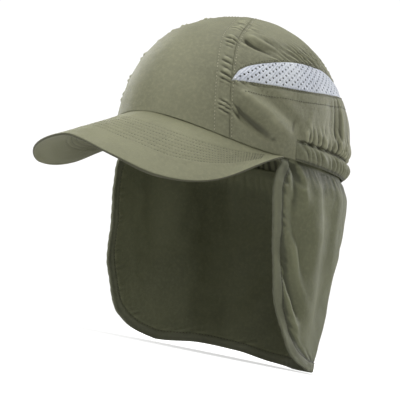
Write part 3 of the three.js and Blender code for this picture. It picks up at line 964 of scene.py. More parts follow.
@dataclass(frozen=True)
class ClothFinish:
    """A woven or knitted cloth."""

    name: str
    colour: Colour
    # dark and light: darker and paler tones of the cloth's random clouding, flecks and weave; a deep copy
    # of dark is the colour of painted shade, and light is also the painted highlight on ridges
    dark: Colour
    light: Colour
    hem: Colour = (114, 115, 98)
    roughness: float = 0.62
    sheen: float = 0.08
    sheen_roughness: float = 0.45
    weave: float = 0.00042  # pitch of the threads
    weave_depth: float = 0.00006
    diagonal: bool = False  # a knit whose ribs run slantwise
    rib: float = 0.12  # how much paler the crests of the weave are
    seam_shade: float = 0.35  # painted shade right at the sewn edges
    crease_shade: float = 0.75  # darkening deep in creases
    row_inset: float = 0.0  # distance of a stitched row from the edge, 0 for none
    hem_tone: float = 0.0  # how much greyer the doubled cloth outside that row is
    ridge_highlight: float = 0.5  # painted highlight along the ridges
    specular: float = 0.34

    def material(self) -> Material:
        """Builds the node material.

        Returns:
            The material.
        """
        material, tree = blank_material(self.name)
        shader = tree.add("ShaderNodeBsdfPrincipled")
        shader.inputs["Sheen Weight"].default_value = self.sheen
        shader.inputs["Sheen Roughness"].default_value = self.sheen_roughness
        shader.inputs["Sheen Tint"].default_value = linear(self.light)
        shader.inputs["Specular IOR Level"].default_value = self.specular
        place = tree.add("ShaderNodeTexCoord").outputs["Object"]
        flat = tree.add("ShaderNodeUVMap", uv_map="cloth").outputs["UV"]

        def noise(where: object, scale: float, detail: float, rough: float = 0.55) -> Socket:
            """Adds a noise and returns its output."""
            node = tree.out("ShaderNodeTexNoise", {
                "Vector": where, "Scale": scale, "Detail": detail, "Roughness": rough})
            return node

        # warp and weft, each a band of round threads whose height rises and falls
        slant = 0.62 if self.diagonal else 0
        turned = tree.out("ShaderNodeMapping", {"Vector": flat, "Rotation": (0, 0, slant)})
        spot = tree.add("ShaderNodeSeparateXYZ", {0: turned})
        turn = 2 * math.pi / self.weave
        warp = tree.math("SINE", tree.times(spot.outputs[0], turn))
        cross_turn = turn * (0.55 if self.diagonal else 1.0)
        weft = tree.math("SINE", tree.times(spot.outputs[1], cross_turn))
        if self.diagonal:
            weave = tree.plus(warp, tree.times(weft, 0.45))
        else:
            weave = tree.times(warp, weft)
        slub_at = tree.out("ShaderNodeMapping", {"Vector": flat, "Scale": (120.0, 2200.0, 1.0)})
        slub = noise(slub_at, 1.0, 2.0)
        cross_at = tree.out("ShaderNodeMapping", {"Vector": flat, "Scale": (2000.0, 150.0, 1.0)})
        cross = noise(cross_at, 1.0, 2.0)

        cloud = noise(place, 26.0, 4.0)
        mottle = noise(place, 420.0, 3.0, 0.6)
        tone = tree.mix(tree.spread(cloud, 0.36, 0.66), linear(self.dark), linear(self.colour))
        flecks = tree.times(tree.spread(mottle, 0.4, 0.75), 0.35)
        tone = tree.mix(flecks, tone, linear(self.light))
        threads = tree.plus(tree.times(weave, 0.5), 0.5)
        tone = tree.mix(tree.times(threads, self.rib), tone, linear(self.light))
        fibres = tree.plus(tree.times(tree.plus(slub, cross), 0.5), -0.5)
        thin = tree.times(tree.spread(fibres, -0.02, -0.2), 0.3)
        tone = tree.mix(thin, tone, linear(self.dark))
        # painted shade: darker right at the sewn edges, mixed towards a deep copy of the dark tone that
        # every painted shade below uses
        edge = tree.add("ShaderNodeAttribute", attribute_name="edge").outputs["Fac"]
        seam_shade_share = tree.times(tree.spread(edge, 0.0009, 0.0), self.seam_shade)
        shade = tuple(c * 0.35 for c in linear(self.dark)[:3]) + (1.0,)
        tone = tree.mix(seam_shade_share, tone, shade)
        if self.row_inset:
            inside = tree.spread(edge, self.row_inset + 0.0004, self.row_inset)
            tone = tree.mix(tree.times(inside, self.hem_tone), tone, linear(self.hem))
            # painted shade in the groove along the stitched row
            off = tree.math("ABSOLUTE", tree.plus(edge, -self.row_inset))
            tone = tree.mix(tree.times(tree.spread(off, 0.0011, 0.0002), 0.6), tone, shade)
        # relief: painted shade deep in creases and painted highlight along ridges
        relief = tree.add("ShaderNodeAttribute", attribute_name="relief").outputs["Fac"]
        sunk = tree.times(tree.spread(relief, -0.00004, -0.0006), self.crease_shade)
        tone = tree.mix(sunk, tone, shade)
        # painted highlight along the ridges of the relief
        ridge_highlight_share = tree.times(tree.spread(relief, 0.00006, 0.0006), self.ridge_highlight)
        tone = tree.mix(ridge_highlight_share, tone, linear(self.light))
        tree.link(tone, shader.inputs["Base Color"])
        rough = tree.spread(mottle, 0.3, 0.75, self.roughness - 0.08, self.roughness + 0.08)
        tree.link(rough, shader.inputs["Roughness"])

        coarse = tree.plus(tree.times(weave, 0.5), tree.times(fibres, 1.6))
        bump = tree.out("ShaderNodeBump", {"Height": coarse, "Distance": self.weave_depth, "Strength": 0.9})
        soft = tree.out("ShaderNodeBump", {
            "Height": noise(place, 190.0, 3.0), "Distance": 0.00045, "Strength": 0.8, "Normal": bump})
        tree.link(soft, shader.inputs["Normal"])
        tree.end("ShaderNodeOutputMaterial", shader.outputs[0])
        return material


@dataclass(frozen=True)
class ThreadFinish:
    """Spun sewing thread."""

    name: str
    colour: Colour
    dark: Colour
    roughness: float = 0.6

    def material(self) -> Material:
        """Builds the node material.

        Returns:
            The material.
        """
        material, tree = blank_material(self.name)
        shader = tree.add("ShaderNodeBsdfPrincipled")
        shader.inputs["Sheen Weight"].default_value = 0.25
        shader.inputs["Specular IOR Level"].default_value = 0.35
        shader.inputs["Roughness"].default_value = self.roughness
        place = tree.add("ShaderNodeTexCoord").outputs["Object"]
        ply = tree.out("ShaderNodeTexNoise", {"Vector": place, "Scale": 2600.0, "Detail": 2.0})
        slow = tree.out("ShaderNodeTexNoise", {"Vector": place, "Scale": 300.0, "Detail": 1.0})
        tone = tree.mix(tree.spread(slow, 0.35, 0.65), linear(self.dark), linear(self.colour))
        tone = tree.mix(tree.times(tree.spread(ply, 0.55, 0.4), 0.4), tone, linear(self.dark))
        tree.link(tone, shader.inputs["Base Color"])
        bump = tree.out("ShaderNodeBump", {"Height": ply, "Distance": 0.00008, "Strength": 0.7})
        tree.link(bump, shader.inputs["Normal"])
        tree.end("ShaderNodeOutputMaterial", shader.outputs[0])
        return material


@dataclass(frozen=True)
class Wardrobe:
    """Every finish on the cap."""

    crown: ClothFinish = ClothFinish(
        "olive_crown_cloth", (126, 126, 101), (117, 117, 94), (158, 158, 130), seam_shade=0.18, ridge_highlight=0.75,
    )
    visor: ClothFinish = ClothFinish(
        "olive_visor_cloth", (134, 134, 106), (125, 125, 99), (155, 155, 127), seam_shade=0.9,
    )
    # the same olive cloth as the crown, given a darker colour as painted shade
    flap: ClothFinish = ClothFinish(
        "olive_flap_cloth", (110, 112, 85), (101, 103, 78), (136, 138, 108), row_inset=0.0072, hem_tone=0.5,
    )
    # the same olive cloth as the crown, given a darker colour as painted shade
    casing: ClothFinish = ClothFinish("olive_casing_cloth", (116, 117, 93), (107, 108, 85), (143, 144, 117))
    vent: ClothFinish = ClothFinish(
        "pale_vent_knit", (214, 219, 226), (180, 186, 200), (236, 239, 243), roughness=0.6, sheen=0.12,
        weave=0.0019, weave_depth=0.00022, diagonal=True, seam_shade=0.1, rib=0.5,
    )
    light_thread: ThreadFinish = ThreadFinish("light_olive_thread", (176, 173, 148), (148, 146, 122))
    olive_thread: ThreadFinish = ThreadFinish("olive_thread", (122, 120, 96), (96, 95, 74))
    dark_thread: ThreadFinish = ThreadFinish("dark_olive_thread", (84, 84, 64), (60, 60, 46))


@dataclass
class Joiner:
    """Attaches each finished piece to the root, hides the solids it replaces and logs it with its slot."""

    made: list[str] = field(default_factory=list)

    def finish(
        self,
        piece: Piece,
        slot: str,
        material: Material | None = None,
        stands_for: tuple[str, ...] = (),
    ) -> Piece:
        """Declares one piece.

        Args:
            piece: The piece, in place.
            slot: Name of its finish's slot, which is only logged.
            material: Its material, where it doesn't carry it yet.
            stands_for: The solids it replaces.

        Returns:
            The piece.
        """
        if material is not None:
            piece.data.materials.clear()
            piece.data.materials.append(material)
        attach(piece, "root")
        if stands_for:
            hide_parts(*stands_for)
        self.made.append(piece.name)
        count = sum(len(p.vertices) - 2 for p in piece.data.polygons)
        log.info("%s: %d triangles, slot %s", piece.name, count, slot)
        return piece


# What repeats: stitches and holes

ROW_LIFT = 0.00004  # how far a row of stitches lies off the cloth


@dataclass(frozen=True)
class Row:
    """One row of stitches: its path, and which way is up off the cloth along it."""

    points: Array
    normals: Array


@dataclass(frozen=True)
class StitchTree:
    """Geometry Nodes tree that lays a thread stitch at even steps along every row."""

    name: str = "stitches_along_rows"
    pitch: float = 0.0026
    length: float = 0.0018
    width: float = 0.0007
    height: float = 0.0005

    def tree(self) -> NodeTree:
        """Builds the tree with named inputs.

        Returns:
            The node group.
        """
        group = bpy.data.node_groups.new(self.name, "GeometryNodeTree")
        face = group.interface
        face.new_socket("Rows", in_out="INPUT", socket_type="NodeSocketGeometry")
        for label in ("Pitch", "Stitch Length", "Stitch Width", "Stitch Height"):
            face.new_socket(label, in_out="INPUT", socket_type="NodeSocketFloat")
        face.new_socket("Seed", in_out="INPUT", socket_type="NodeSocketInt")
        face.new_socket("Thread", in_out="INPUT", socket_type="NodeSocketMaterial")
        face.new_socket("Stitches", in_out="OUTPUT", socket_type="NodeSocketGeometry")
        tree = Tree(group)
        given = tree.add("NodeGroupInput").outputs
        line = tree.out("GeometryNodeMeshToCurve", {"Mesh": given["Rows"]})
        line = tree.out("GeometryNodeResampleCurve", {"Curve": line, "Length": given["Pitch"]},
                        mode="LENGTH")
        bead = tree.out("GeometryNodeMeshUVSphere", {"Segments": 6, "Rings": 5, "Radius": 0.5})
        size = tree.out("ShaderNodeCombineXYZ", {
            0: given["Stitch Length"], 1: given["Stitch Width"], 2: given["Stitch Height"]})
        bead = tree.out("GeometryNodeTransform", {"Geometry": bead, "Scale": size})
        away = tree.out("GeometryNodeInputNamedAttribute", {"Name": "away"}, data_type="FLOAT_VECTOR")
        ahead = tree.out("GeometryNodeInputTangent")
        stray = tree.out("FunctionNodeRandomValue", {
            "Min": (-0.12, -0.12, -0.12), "Max": (0.12, 0.12, 0.12),
            "Seed": given["Seed"]}, data_type="FLOAT_VECTOR")
        heading = tree.out("ShaderNodeVectorMath", {0: ahead, 1: stray},
                           operation="ADD")
        turn = tree.out("FunctionNodeAxesToRotation", {0: away, 1: heading},
                        primary_axis="Z", secondary_axis="X")
        later = tree.plus(given["Seed"], 7)
        grow = tree.out("FunctionNodeRandomValue", {
            "Min": (0.88, 0.9, 0.85), "Max": (1.08, 1.1, 1.15),
            "Seed": later}, data_type="FLOAT_VECTOR")
        laid = tree.out("GeometryNodeInstanceOnPoints", {
            "Points": line, "Instance": bead, "Rotation": turn,
            "Scale": grow})
        whole = tree.out("GeometryNodeRealizeInstances", {"Geometry": laid})
        whole = tree.out("GeometryNodeSetShadeSmooth", {"Geometry": whole})
        whole = tree.out("GeometryNodeSetMaterial", {
            "Geometry": whole, "Material": given["Thread"]})
        tree.end("NodeGroupOutput", whole)
        return group


def applied(source: Piece, group: NodeTree, values: dict[str, object],
            name: str) -> Piece:
    """Runs a Geometry Nodes tree on an object and keeps only its result.

    Args:
        source: The object whose mesh the tree starts from; it is removed.
        group: The tree.
        values: Its inputs by name.
        name: Name of the piece.

    Returns:
        A plain mesh object at the origin.
    """
    modifier = source.modifiers.new("nodes", "NODES")
    modifier.node_group = group
    sockets = {s.name: s.identifier for s in group.interface.items_tree if s.in_out == "INPUT"}
    for label, value in values.items():
        modifier[sockets[label]] = value
    graph = bpy.context.evaluated_depsgraph_get()
    mesh = bpy.data.meshes.new_from_object(source.evaluated_get(graph), depsgraph=graph)
    source.modifiers.clear()
    bpy.data.objects.remove(source)
    mesh.name = name
    return placed(name, mesh)


@dataclass(frozen=True)
class Needle:
    """Sews rows of stitches, each group of rows as one piece."""

    group: NodeTree
    style: StitchTree
    joiner: Joiner

    def sew(self, name: str, rows: list[Row], thread: Material, slot: str, seed: int,
            scale: float = 1.0) -> Piece:
        """Makes one group of rows.

        Args:
            name: Name of the piece.
            rows: The rows.
            thread: The thread's material.
            slot: Name of its finish's slot, which is only logged.
            seed: Seed of the small differences between stitches.
            scale: Size of the stitches against the usual one.

        Returns:
            The finished piece.
        """
        points, normals, edges = [], [], []
        for row in rows:
            first = len(points)
            points.extend(row.points.tolist())
            normals.extend(row.normals.tolist())
            edges.extend((first + k, first + k + 1) for k in range(len(row.points) - 1))
        mesh = bpy.data.meshes.new(name + "_rows")
        mesh.from_pydata(points, edges, [])
        away = mesh.attributes.new("away", "FLOAT_VECTOR", "POINT")
        away.data.foreach_set("vector", np.array(normals, dtype=np.float32).ravel())
        source = placed(name + "_rows", mesh)
        piece = applied(source, self.group, {
            "Pitch": self.style.pitch * scale,
            "Stitch Length": self.style.length * scale,
            "Stitch Width": self.style.width * scale,
            "Stitch Height": self.style.height * scale,
            "Seed": seed,
            "Thread": thread,
        }, name)
        return self.joiner.finish(piece, slot)


@dataclass(frozen=True)
class PerforationTree:
    """Geometry Nodes tree that pierces a knit with two crossed lattices of round holes."""

    name: str = "holes_through_knit"
    along: float = 0.006
    rise: float = 0.0052
    radius: float = 0.0009
    margin: float = 0.0011

    def tree(self) -> NodeTree:
        """Builds the tree with named inputs.

        Returns:
            The node group.
        """
        group = bpy.data.node_groups.new(self.name, "GeometryNodeTree")
        face = group.interface
        face.new_socket("Knit", in_out="INPUT", socket_type="NodeSocketGeometry")
        for label in ("Pitch Along", "Pitch Up", "Hole Radius", "Margin", "Width", "Height"):
            face.new_socket(label, in_out="INPUT", socket_type="NodeSocketFloat")
        face.new_socket("Fabric", in_out="INPUT", socket_type="NodeSocketMaterial")
        face.new_socket("Pierced", in_out="OUTPUT", socket_type="NodeSocketGeometry")
        tree = Tree(group)
        given = tree.add("NodeGroupInput").outputs
        knit = given["Knit"]

        def lattice(shift: float) -> Socket:
            """One lattice of points over the knit's flat shape, shifted by a share of its pitch.

            Args:
                shift: Share of the pitch, in both directions.

            Returns:
                The lattice.
            """
            wide = tree.math("FLOOR", tree.math("DIVIDE", given["Width"], given["Pitch Along"]))
            high = tree.math("FLOOR", tree.math("DIVIDE", given["Height"], given["Pitch Up"]))
            size_x = tree.times(wide, given["Pitch Along"])
            size_y = tree.times(high, given["Pitch Up"])
            grid = tree.out("GeometryNodeMeshGrid", {
                "Size X": size_x, "Size Y": size_y, "Vertices X": tree.plus(wide, 1.0),
                "Vertices Y": tree.plus(high, 1.0)})
            move = tree.out("ShaderNodeCombineXYZ", {
                0: tree.plus(tree.times(size_x, 0.5), tree.times(given["Pitch Along"], shift)),
                1: tree.plus(tree.times(size_y, 0.5), tree.times(given["Pitch Up"], shift))})
            return tree.out("GeometryNodeTransform", {
                "Geometry": grid, "Translation": move})

        both = tree.add("GeometryNodeJoinGeometry")
        tree.link(lattice(0.0), both.inputs[0])
        tree.link(lattice(0.5), both.inputs[0])
        flat = tree.out("GeometryNodeInputNamedAttribute", {"Name": "cloth"}, data_type="FLOAT_VECTOR")
        edge = tree.out("GeometryNodeInputNamedAttribute", {"Name": "edge"}, data_type="FLOAT")
        spot = tree.out("GeometryNodeInputPosition")
        normal = tree.out("GeometryNodeInputNormal")

        def sampled(value: Socket, kind: str) -> Node:
            """The knit's value under each lattice point."""
            return tree.add("GeometryNodeSampleUVSurface", {
                "Mesh": knit, "Value": value, "UV Map": flat,
                "Sample UV": spot}, data_type=kind)

        rim = sampled(edge, "FLOAT")
        place = sampled(spot, "FLOAT_VECTOR")
        facing = sampled(normal, "FLOAT_VECTOR")
        kept = tree.out("GeometryNodeStoreNamedAttribute", {
            "Geometry": both.outputs[0], "Name": "facing", "Value": facing.outputs[0]},
            data_type="FLOAT_VECTOR", domain="POINT")
        clear = tree.math("GREATER_THAN", rim.outputs[0], given["Margin"])
        valid = tree.out("FunctionNodeBooleanMath", {0: rim.outputs[1], 1: clear}, operation="AND")
        marked = tree.out("GeometryNodeStoreNamedAttribute", {
            "Geometry": kept, "Name": "pierce", "Value": valid},
            data_type="BOOLEAN", domain="POINT")
        moved = tree.out("GeometryNodeSetPosition", {
            "Geometry": marked, "Position": place.outputs[0]})
        points = tree.out("GeometryNodeMeshToPoints", {"Mesh": moved})
        chosen = tree.out("GeometryNodeInputNamedAttribute", {"Name": "pierce"}, data_type="BOOLEAN")
        way = tree.out("GeometryNodeInputNamedAttribute", {"Name": "facing"}, data_type="FLOAT_VECTOR")
        turn = tree.out("FunctionNodeAlignRotationToVector", {"Vector": way}, axis="Z")
        punch = tree.out("GeometryNodeMeshCylinder", {
            "Vertices": 8, "Radius": given["Hole Radius"], "Depth": 0.004})
        laid = tree.out("GeometryNodeInstanceOnPoints", {
            "Points": points, "Selection": chosen, "Instance": punch,
            "Rotation": turn})
        whole = tree.out("GeometryNodeRealizeInstances", {"Geometry": laid})
        cut = tree.add("GeometryNodeMeshBoolean", operation="DIFFERENCE", solver="MANIFOLD")
        tree.link(knit, cut.inputs["Mesh 1"])
        tree.link(whole, cut.inputs["Mesh 2"])
        dressed = tree.out("GeometryNodeSetMaterial", {
            "Geometry": cut.outputs[0], "Material": given["Fabric"]})
        tree.end("NodeGroupOutput", dressed)
        return group


# Sub-assemblies


@dataclass
class Crown:
    """The three cloth panels of the crown and the stitches along their seams."""

    form: CapForm
    work: ClothWork
    pitch: float = 0.00104
    near: tuple[float, ...] = (0.0, 0.00015, 0.00035, 0.0007, 0.0012, 0.002)
    radius: float = 0.0006

    def surface(self, angle: Array, up: Array, face: Face = Face.OUTER) -> tuple[Array, Array]:
        """Point on the worked cloth and the direction off it.

        Args:
            angle: Angle round the head.
            up: Share of the way up.
            face: Outer or inner face.

        Returns:
            Points and unit normals.
        """
        normal = self.form.crown_normal(angle, up)
        points = self.form.crown(angle, up) + normal * self.work.crown(angle, up)[..., None]
        if face is Face.INNER:
            return points - normal * self.form.cloth, -normal
        return points, normal

    def shell(self, name: str, angle: Array, up: Array, edge: Array, apex: float | None,
              keep: Array | None = None) -> Piece:
        """Builds one panel from grids of angles and shares of the way up.

        Args:
            name: Name of the piece.
            angle: Grid of angles.
            up: Grid of shares of the way up.
            edge: Distance to the panel's edge at each place.
            apex: Where a panel ends in a point at the apex, the Y of that point; otherwise None.
            keep: Cells that are cloth, where not all are.

        Returns:
            The panel.
        """
        surface, normal = self.surface(angle, up)
        _, front, flank, back = self.form.section(up)
        degree = self.form.rim_step * np.maximum((flank + 0.5 * (front + back)) / 2, 0.1)
        reach = self.work.relief_reach
        relief = relief_of(self.work.crown, angle, up, reach / degree, reach / self.form.crown_arc)
        outer, inner = walled(surface, normal, self.form.cloth, edge, self.radius)
        if apex is not None:
            dip = rounding(np.array(0.0), self.radius)
            top = np.array([0.0, apex, self.form.crown_height - self.form.cloth * (1 - dip) / 2])
            outer[:, -1] = top
            inner[:, -1] = top - (0, 0, self.form.cloth * dip)
        across, rising = grid_lengths(self.form.crown(angle, up))
        cloth = np.stack([across - across[len(across) // 2], rising + up[:, :1] * self.form.crown_arc], -1)
        return Shell(name, outer, inner, cloth, edge, relief, keep, apex is not None).build()

    def front_panel(self) -> Piece:
        """The wide front panel, from the rim to the apex between the two front seams.

        Returns:
            The panel.
        """
        form = self.form
        width = 2 * form.seam_at_rim * form.rim_step
        across = 2 * graded(width, self.pitch, self.near)[:, None] - 1
        ups = graded(form.tip * form.crown_arc, self.pitch, self.near, both=False) * form.tip
        up = np.append(ups, 1.0)[None, :] + 0 * across
        half = form.seam_angle(up) - form.gap_angle(np.minimum(up, form.tip))
        angle = across * half
        sideways, rising = grid_lengths(form.crown(angle, np.minimum(up, form.tip)))
        edge = np.minimum(np.minimum(sideways, sideways[-1:] - sideways), rising)
        return self.shell("front_panel_cloth", angle, up, edge, self.apex_offset(-1))

    def apex_offset(self, way: int) -> float:
        """Y of a panel's point at the apex, drawn back from the middle for the seam."""
        return way * 0.3 * self.form.seam_gap / 2 / math.sin(math.radians(self.form.seam_at_top))

    def upper_panel(self) -> Piece:
        """The panel over the top and back, above the side fabric.

        Returns:
            The panel.
        """
        form = self.form
        place = 2 * graded(2 * form.panel_length, self.pitch, self.near)[:, None]
        low = form.vent_top(place) + form.gap_up
        tall = 0.62 * form.crown_arc
        share = graded(tall, self.pitch, self.near, both=False)[None, :]
        up = low + (form.tip - low) * share
        up = np.concatenate([up, np.ones_like(up[:, :1])], axis=1)
        angle = form.back_angle(place, np.minimum(up, form.tip))
        sideways, rising = grid_lengths(form.crown(angle, np.minimum(up, form.tip)))
        edge = np.minimum(np.minimum(sideways, sideways[-1:] - sideways), rising)
        return self.shell("upper_back_cloth", angle, up, edge, self.apex_offset(1))

    def lower_panel(self) -> Piece:
        """The band round the sides and back, from the rim or the casing up to the side fabric.

        Returns:
            The panel.
        """
        form = self.form
        full = graded(form.casing_start * form.panel_length, self.pitch, self.near) * form.casing_start
        rest = graded(2 * (1 - form.casing_start) * form.panel_length, self.pitch, self.near)
        rest = form.casing_start + rest * 2 * (1 - form.casing_start)
        place = np.concatenate([full, rest[1:-1], 2 - full[::-1]])[:, None]
        base = form.casing_up + form.gap_up
        low = graded(form.casing_height, self.pitch, self.near) * base
        high = graded(form.vent_seam(1.0) * form.crown_arc, self.pitch, self.near)[1:]
        top = form.vent_seam(place) - form.gap_up
        up = np.concatenate([low[None, :] + 0 * place, base + (top - base) * high[None, :]], axis=1)
        place = place + 0 * up
        near = np.where(place <= 1, place, 2 - place)
        angle = form.back_angle(place, up)
        sideways, _ = grid_lengths(form.crown(angle, up))
        sides = np.minimum(sideways, sideways[-1:] - sideways)
        above = (top - up) * form.crown_arc
        past = (form.casing_start - near) * form.panel_length
        over = (up - base) * form.crown_arc
        foot = np.where(past > 0, up * form.crown_arc, over)
        corner = np.where((over > 0) & (past > 0), np.hypot(past, over), 1.0)
        edge = np.maximum(np.minimum(np.minimum(sides, above), np.minimum(foot, corner)), 0)
        middle = (near[:-1, 0] + near[1:, 0]) / 2
        keep = (np.arange(up.shape[1] - 1)[None, :] >= len(low) - 1) | (middle < form.casing_start)[:, None]
        return self.shell("lower_back_cloth", angle, up, edge, None, keep)

    def seam_row(self, ahead: float, low: float, high: float, side: Side) -> Row:
        """A row beside a front seam, ahead of it or, below 0, behind it.

        Args:
            ahead: Metres ahead of the seam.
            low: Share of the way up where it starts.
            high: Share of the way up where it ends.
            side: Side of the head.

        Returns:
            The row.
        """
        form = self.form
        up = np.linspace(low, high, 260)
        _, front, flank, back = form.section(up)
        degree = form.rim_step * (flank + 0.5 * (front + back)) / 2
        room = np.minimum(1.0, (1 - up) / 0.3 + 0.15)
        angle = form.seam_angle(up) - ahead * room / degree
        points, normals = self.surface(side.value * angle if ahead > 0 else self.turned(angle, side), up)
        return Row(points + normals * ROW_LIFT, normals)

    def turned(self, angle: Array, side: Side) -> Array:
        """The same place on a side of the head, as an angle from 0 to 360."""
        return angle if side is Side.LEFT else 360 - angle

    def level_row(self, offset: float, start: float, end: float, top: bool, side: Side) -> Row:
        """A row along the side fabric, above its upper edge or below its lower edge.

        Args:
            offset: Metres from that edge.
            start: Place where it starts.
            end: Place where it ends.
            top: Whether it follows the upper edge.
            side: Side of the head.

        Returns:
            The row.
        """
        form = self.form
        place = np.linspace(start, end, 420)
        rise = offset / form.crown_arc
        line = form.vent_top(place) + rise if top else form.vent_seam(place) - rise
        angle = form.back_angle(place, line)
        points, normals = self.surface(self.turned(angle, side), line)
        return Row(points + normals * ROW_LIFT, normals)

    def rows(self) -> list[Row]:
        """All rows beside the front seams.

        Returns:
            The rows.
        """
        found = []
        for side in Side:
            found.append(self.seam_row(self.work.strip, 0.012, 0.9, side))
            found.append(self.seam_row(-0.0017, 0.012, 0.93, side))
        return found

    def vent_rows(self) -> list[Row]:
        """The rows round the side fabric and the one below it.

        Returns:
            The rows.
        """
        found = []
        for side in Side:
            found.append(self.level_row(0.0016, 0.012, 0.995, True, side))
            found.append(self.level_row(0.0009, 0.012, 0.995, False, side))
            found.append(self.level_row(self.work.band_row, 0.05, 0.995, False, side))
        return found

    def dress(self, needle: Needle, cloth: Material, light: Material, dark: Material) -> None:
        """Builds the panels and sews them.

        Args:
            cloth: The cloth's material.
            light: Material of the pale thread.
            dark: Material of the dark thread.
        """
        needle.joiner.finish(self.front_panel(), "crown_cloth", cloth, ("front_panel",))
        needle.joiner.finish(self.upper_panel(), "crown_cloth", cloth, ("upper_back_panel",))
        needle.joiner.finish(self.lower_panel(), "crown_cloth", cloth, ("lower_back_panel",))
        needle.sew("front_seam_stitches", self.rows(), light, "crown_cloth", 3)
        # dark thread: real stitches, whose row along the lower edge also stands in for the shade under that
        # edge
        needle.sew("vent_edge_stitches", self.vent_rows(), dark, "crown_cloth", 4, 0.9)


@dataclass
class SideVents:
    """The two crescents of pierced fabric."""

    form: CapForm
    holes: PerforationTree
    pitch: float = 0.0011
    start: float = 0.002
    end: float = 0.872

    def knit(self, side: Side) -> tuple[Piece, tuple[float, float]]:
        """One crescent before it is pierced.

        Args:
            side: Which side of the head.

        Returns:
            The shell, and the width and height of its flat shape.
        """
        form = self.form
        count = int((self.end - self.start) * form.panel_length / self.pitch)
        place = np.linspace(self.start, self.end, count)
        if side is Side.RIGHT:
            place = 2 - place[::-1]
        place = place[:, None]
        low, top = form.vent_seam(place) + form.gap_up, form.vent_top(place) - form.gap_up
        share = graded(0.16 * form.crown_arc, self.pitch, (0.0, 0.0004, 0.0009))[None, :]
        up = low + np.maximum(top - low, 0.0006) * share
        angle = form.back_angle(place, up)
        normal = form.crown_normal(angle, up)
        base = form.crown(angle, up)
        puff = np.sin(np.pi * share) * np.clip((top - low) / 0.1, 0, 1)
        lift = -form.vent_sink + 0.0007 * puff + 0.00025 * swell(base, 0.02, 51)
        across, rising = grid_lengths(base)
        edge = np.minimum(rising, rising[:, -1:] - rising)
        edge = np.minimum(edge, np.minimum(across, across[-1:] - across))
        outer, inner = walled(base + normal * lift[..., None], normal, form.vent_cloth, edge, 0.0006)
        lowest = rising + (low - low.min()) * form.crown_arc
        across = across[:, :1] + 0 * across
        cloth = np.stack([across, lowest], -1)
        name = f"vent_{side.name.lower()}_fabric"
        size = (float(across.max()), float(lowest.max()))
        return Shell(name + "_plain", outer, inner, cloth, edge).build(), size

    def dress(self, joiner: Joiner, fabric: Material) -> None:
        """Builds and pierces both crescents.

        Args:
            fabric: The side fabric's material.
        """
        group = self.holes.tree()
        for side in Side:
            plain, (width, height) = self.knit(side)
            piece = applied(plain, group, {
                "Pitch Along": self.holes.along,
                "Pitch Up": self.holes.rise,
                "Hole Radius": self.holes.radius,
                "Margin": self.holes.margin,
                "Width": width,
                "Height": height,
                "Fabric": fabric,
            }, f"vent_{side.name.lower()}_fabric")
            piece.data.shade_smooth()
            joiner.finish(piece, "vent_fabric", None, (f"vent_{side.name.lower()}",))


@dataclass
class Casing:
    """The gathered tunnel round the back and its two rows of stitches."""

    form: CapForm
    work: ClothWork
    pitch: float = 0.00085
    low_row: float = 0.07
    high_row: float = 0.9
    overlap: float = 1.035  # the tunnel's height against the casing's, to close the seam over it

    def lift(self, place: Array, share: Array) -> Array:
        """How far the casing swells out over the crown.

        Args:
            place: Place behind the front seams.
            share: Share of the way up the casing.

        Returns:
            Height over the plain crown.
        """
        form = self.form
        share = np.clip(share, 0, 1)
        full = np.sin(np.pi * share) ** 0.75
        near = np.where(place <= 1, place, 2 - place)
        ends = step(near, form.casing_start, form.casing_start + 0.07)
        gathered = step(near, form.casing_start, form.casing_start + 0.035)
        wave = self.work.gathers(place, 1.3 * share)
        crimp = 0.6 * bell(share - self.low_row, 0.06) + 0.35 * bell(share - self.high_row, 0.05)
        body = form.casing_bulge * (0.1 + 0.9 * ends) + form.gather_depth * 1.35 * wave * gathered
        over = (share - 1) * form.casing_height
        return full * body * (1 - crimp) + self.work.pinch(over, place)

    def surface(self, place: Array, share: Array) -> tuple[Array, Array]:
        """Outer face of the casing and the direction off it.

        Args:
            place: Place behind the front seams.
            share: Share of the way up the casing.

        Returns:
            Points and unit normals.
        """
        form = self.form
        up = share * (form.casing_up - form.gap_up)
        angle = form.back_angle(place, up)
        normal = form.crown_normal(angle, up)
        return form.crown(angle, up) + normal * self.lift(place, share)[..., None], normal

    def shell(self) -> Piece:
        """The tunnel, closed over the elastic inside it.

        Returns:
            The tunnel.
        """
        form = self.form
        start = form.casing_start + 0.0006
        length = (2 - 2 * start) * form.panel_length
        place = (start + (2 - 2 * start) * graded(length, self.pitch, (0.0, 0.0003, 0.0007)))[:, None]
        share = self.overlap * graded(form.casing_height, 0.0008, (0.0, 0.0003, 0.0007, 0.0012))[None, :]
        place, share = np.broadcast_arrays(place, share)
        surface, normal = self.surface(place, share)
        up = share * (form.casing_up - form.gap_up)
        base = form.crown(form.back_angle(place, up), up)
        across, rising = grid_lengths(base)
        edge = np.minimum(rising, rising[:, -1:] - rising)
        outer, _ = walled(surface, normal, form.cloth, edge, 0.0006)
        sunk = base + normal * self.work.pinch((share - 1) * form.casing_height, place)[..., None]
        _, inner = walled(sunk, normal, form.cloth, edge, 0.0006)
        reach = self.work.relief_reach
        steps = reach / form.panel_length, reach / form.casing_height
        relief = 0.7 * relief_of(self.lift, place, share, *steps)
        # painted shade along the two rows of stitches, through the relief
        relief -= 0.0004 * (bell(share - self.low_row, 0.05) + bell(share - self.high_row, 0.04))
        return Shell("casing_tunnel", outer, inner, np.stack([across, rising], -1), edge, relief).build()

    def rows(self) -> list[Row]:
        """The two rows that close the tunnel over its elastic.

        Returns:
            The rows.
        """
        form = self.form
        place = np.linspace(form.casing_start + 0.004, 2 - form.casing_start - 0.004, 1400)
        found = []
        for share in (self.low_row, self.high_row):
            points, normals = self.surface(place, np.full_like(place, share))
            found.append(Row(points + normals * ROW_LIFT, normals))
        return found

    def dress(self, needle: Needle, cloth: Material, thread: Material) -> None:
        """Builds the tunnel and sews it."""
        needle.joiner.finish(self.shell(), "casing_cloth", cloth, ("elastic_casing",))
        needle.sew("casing_stitches", self.rows(), thread, "casing_cloth", 5, 0.9)


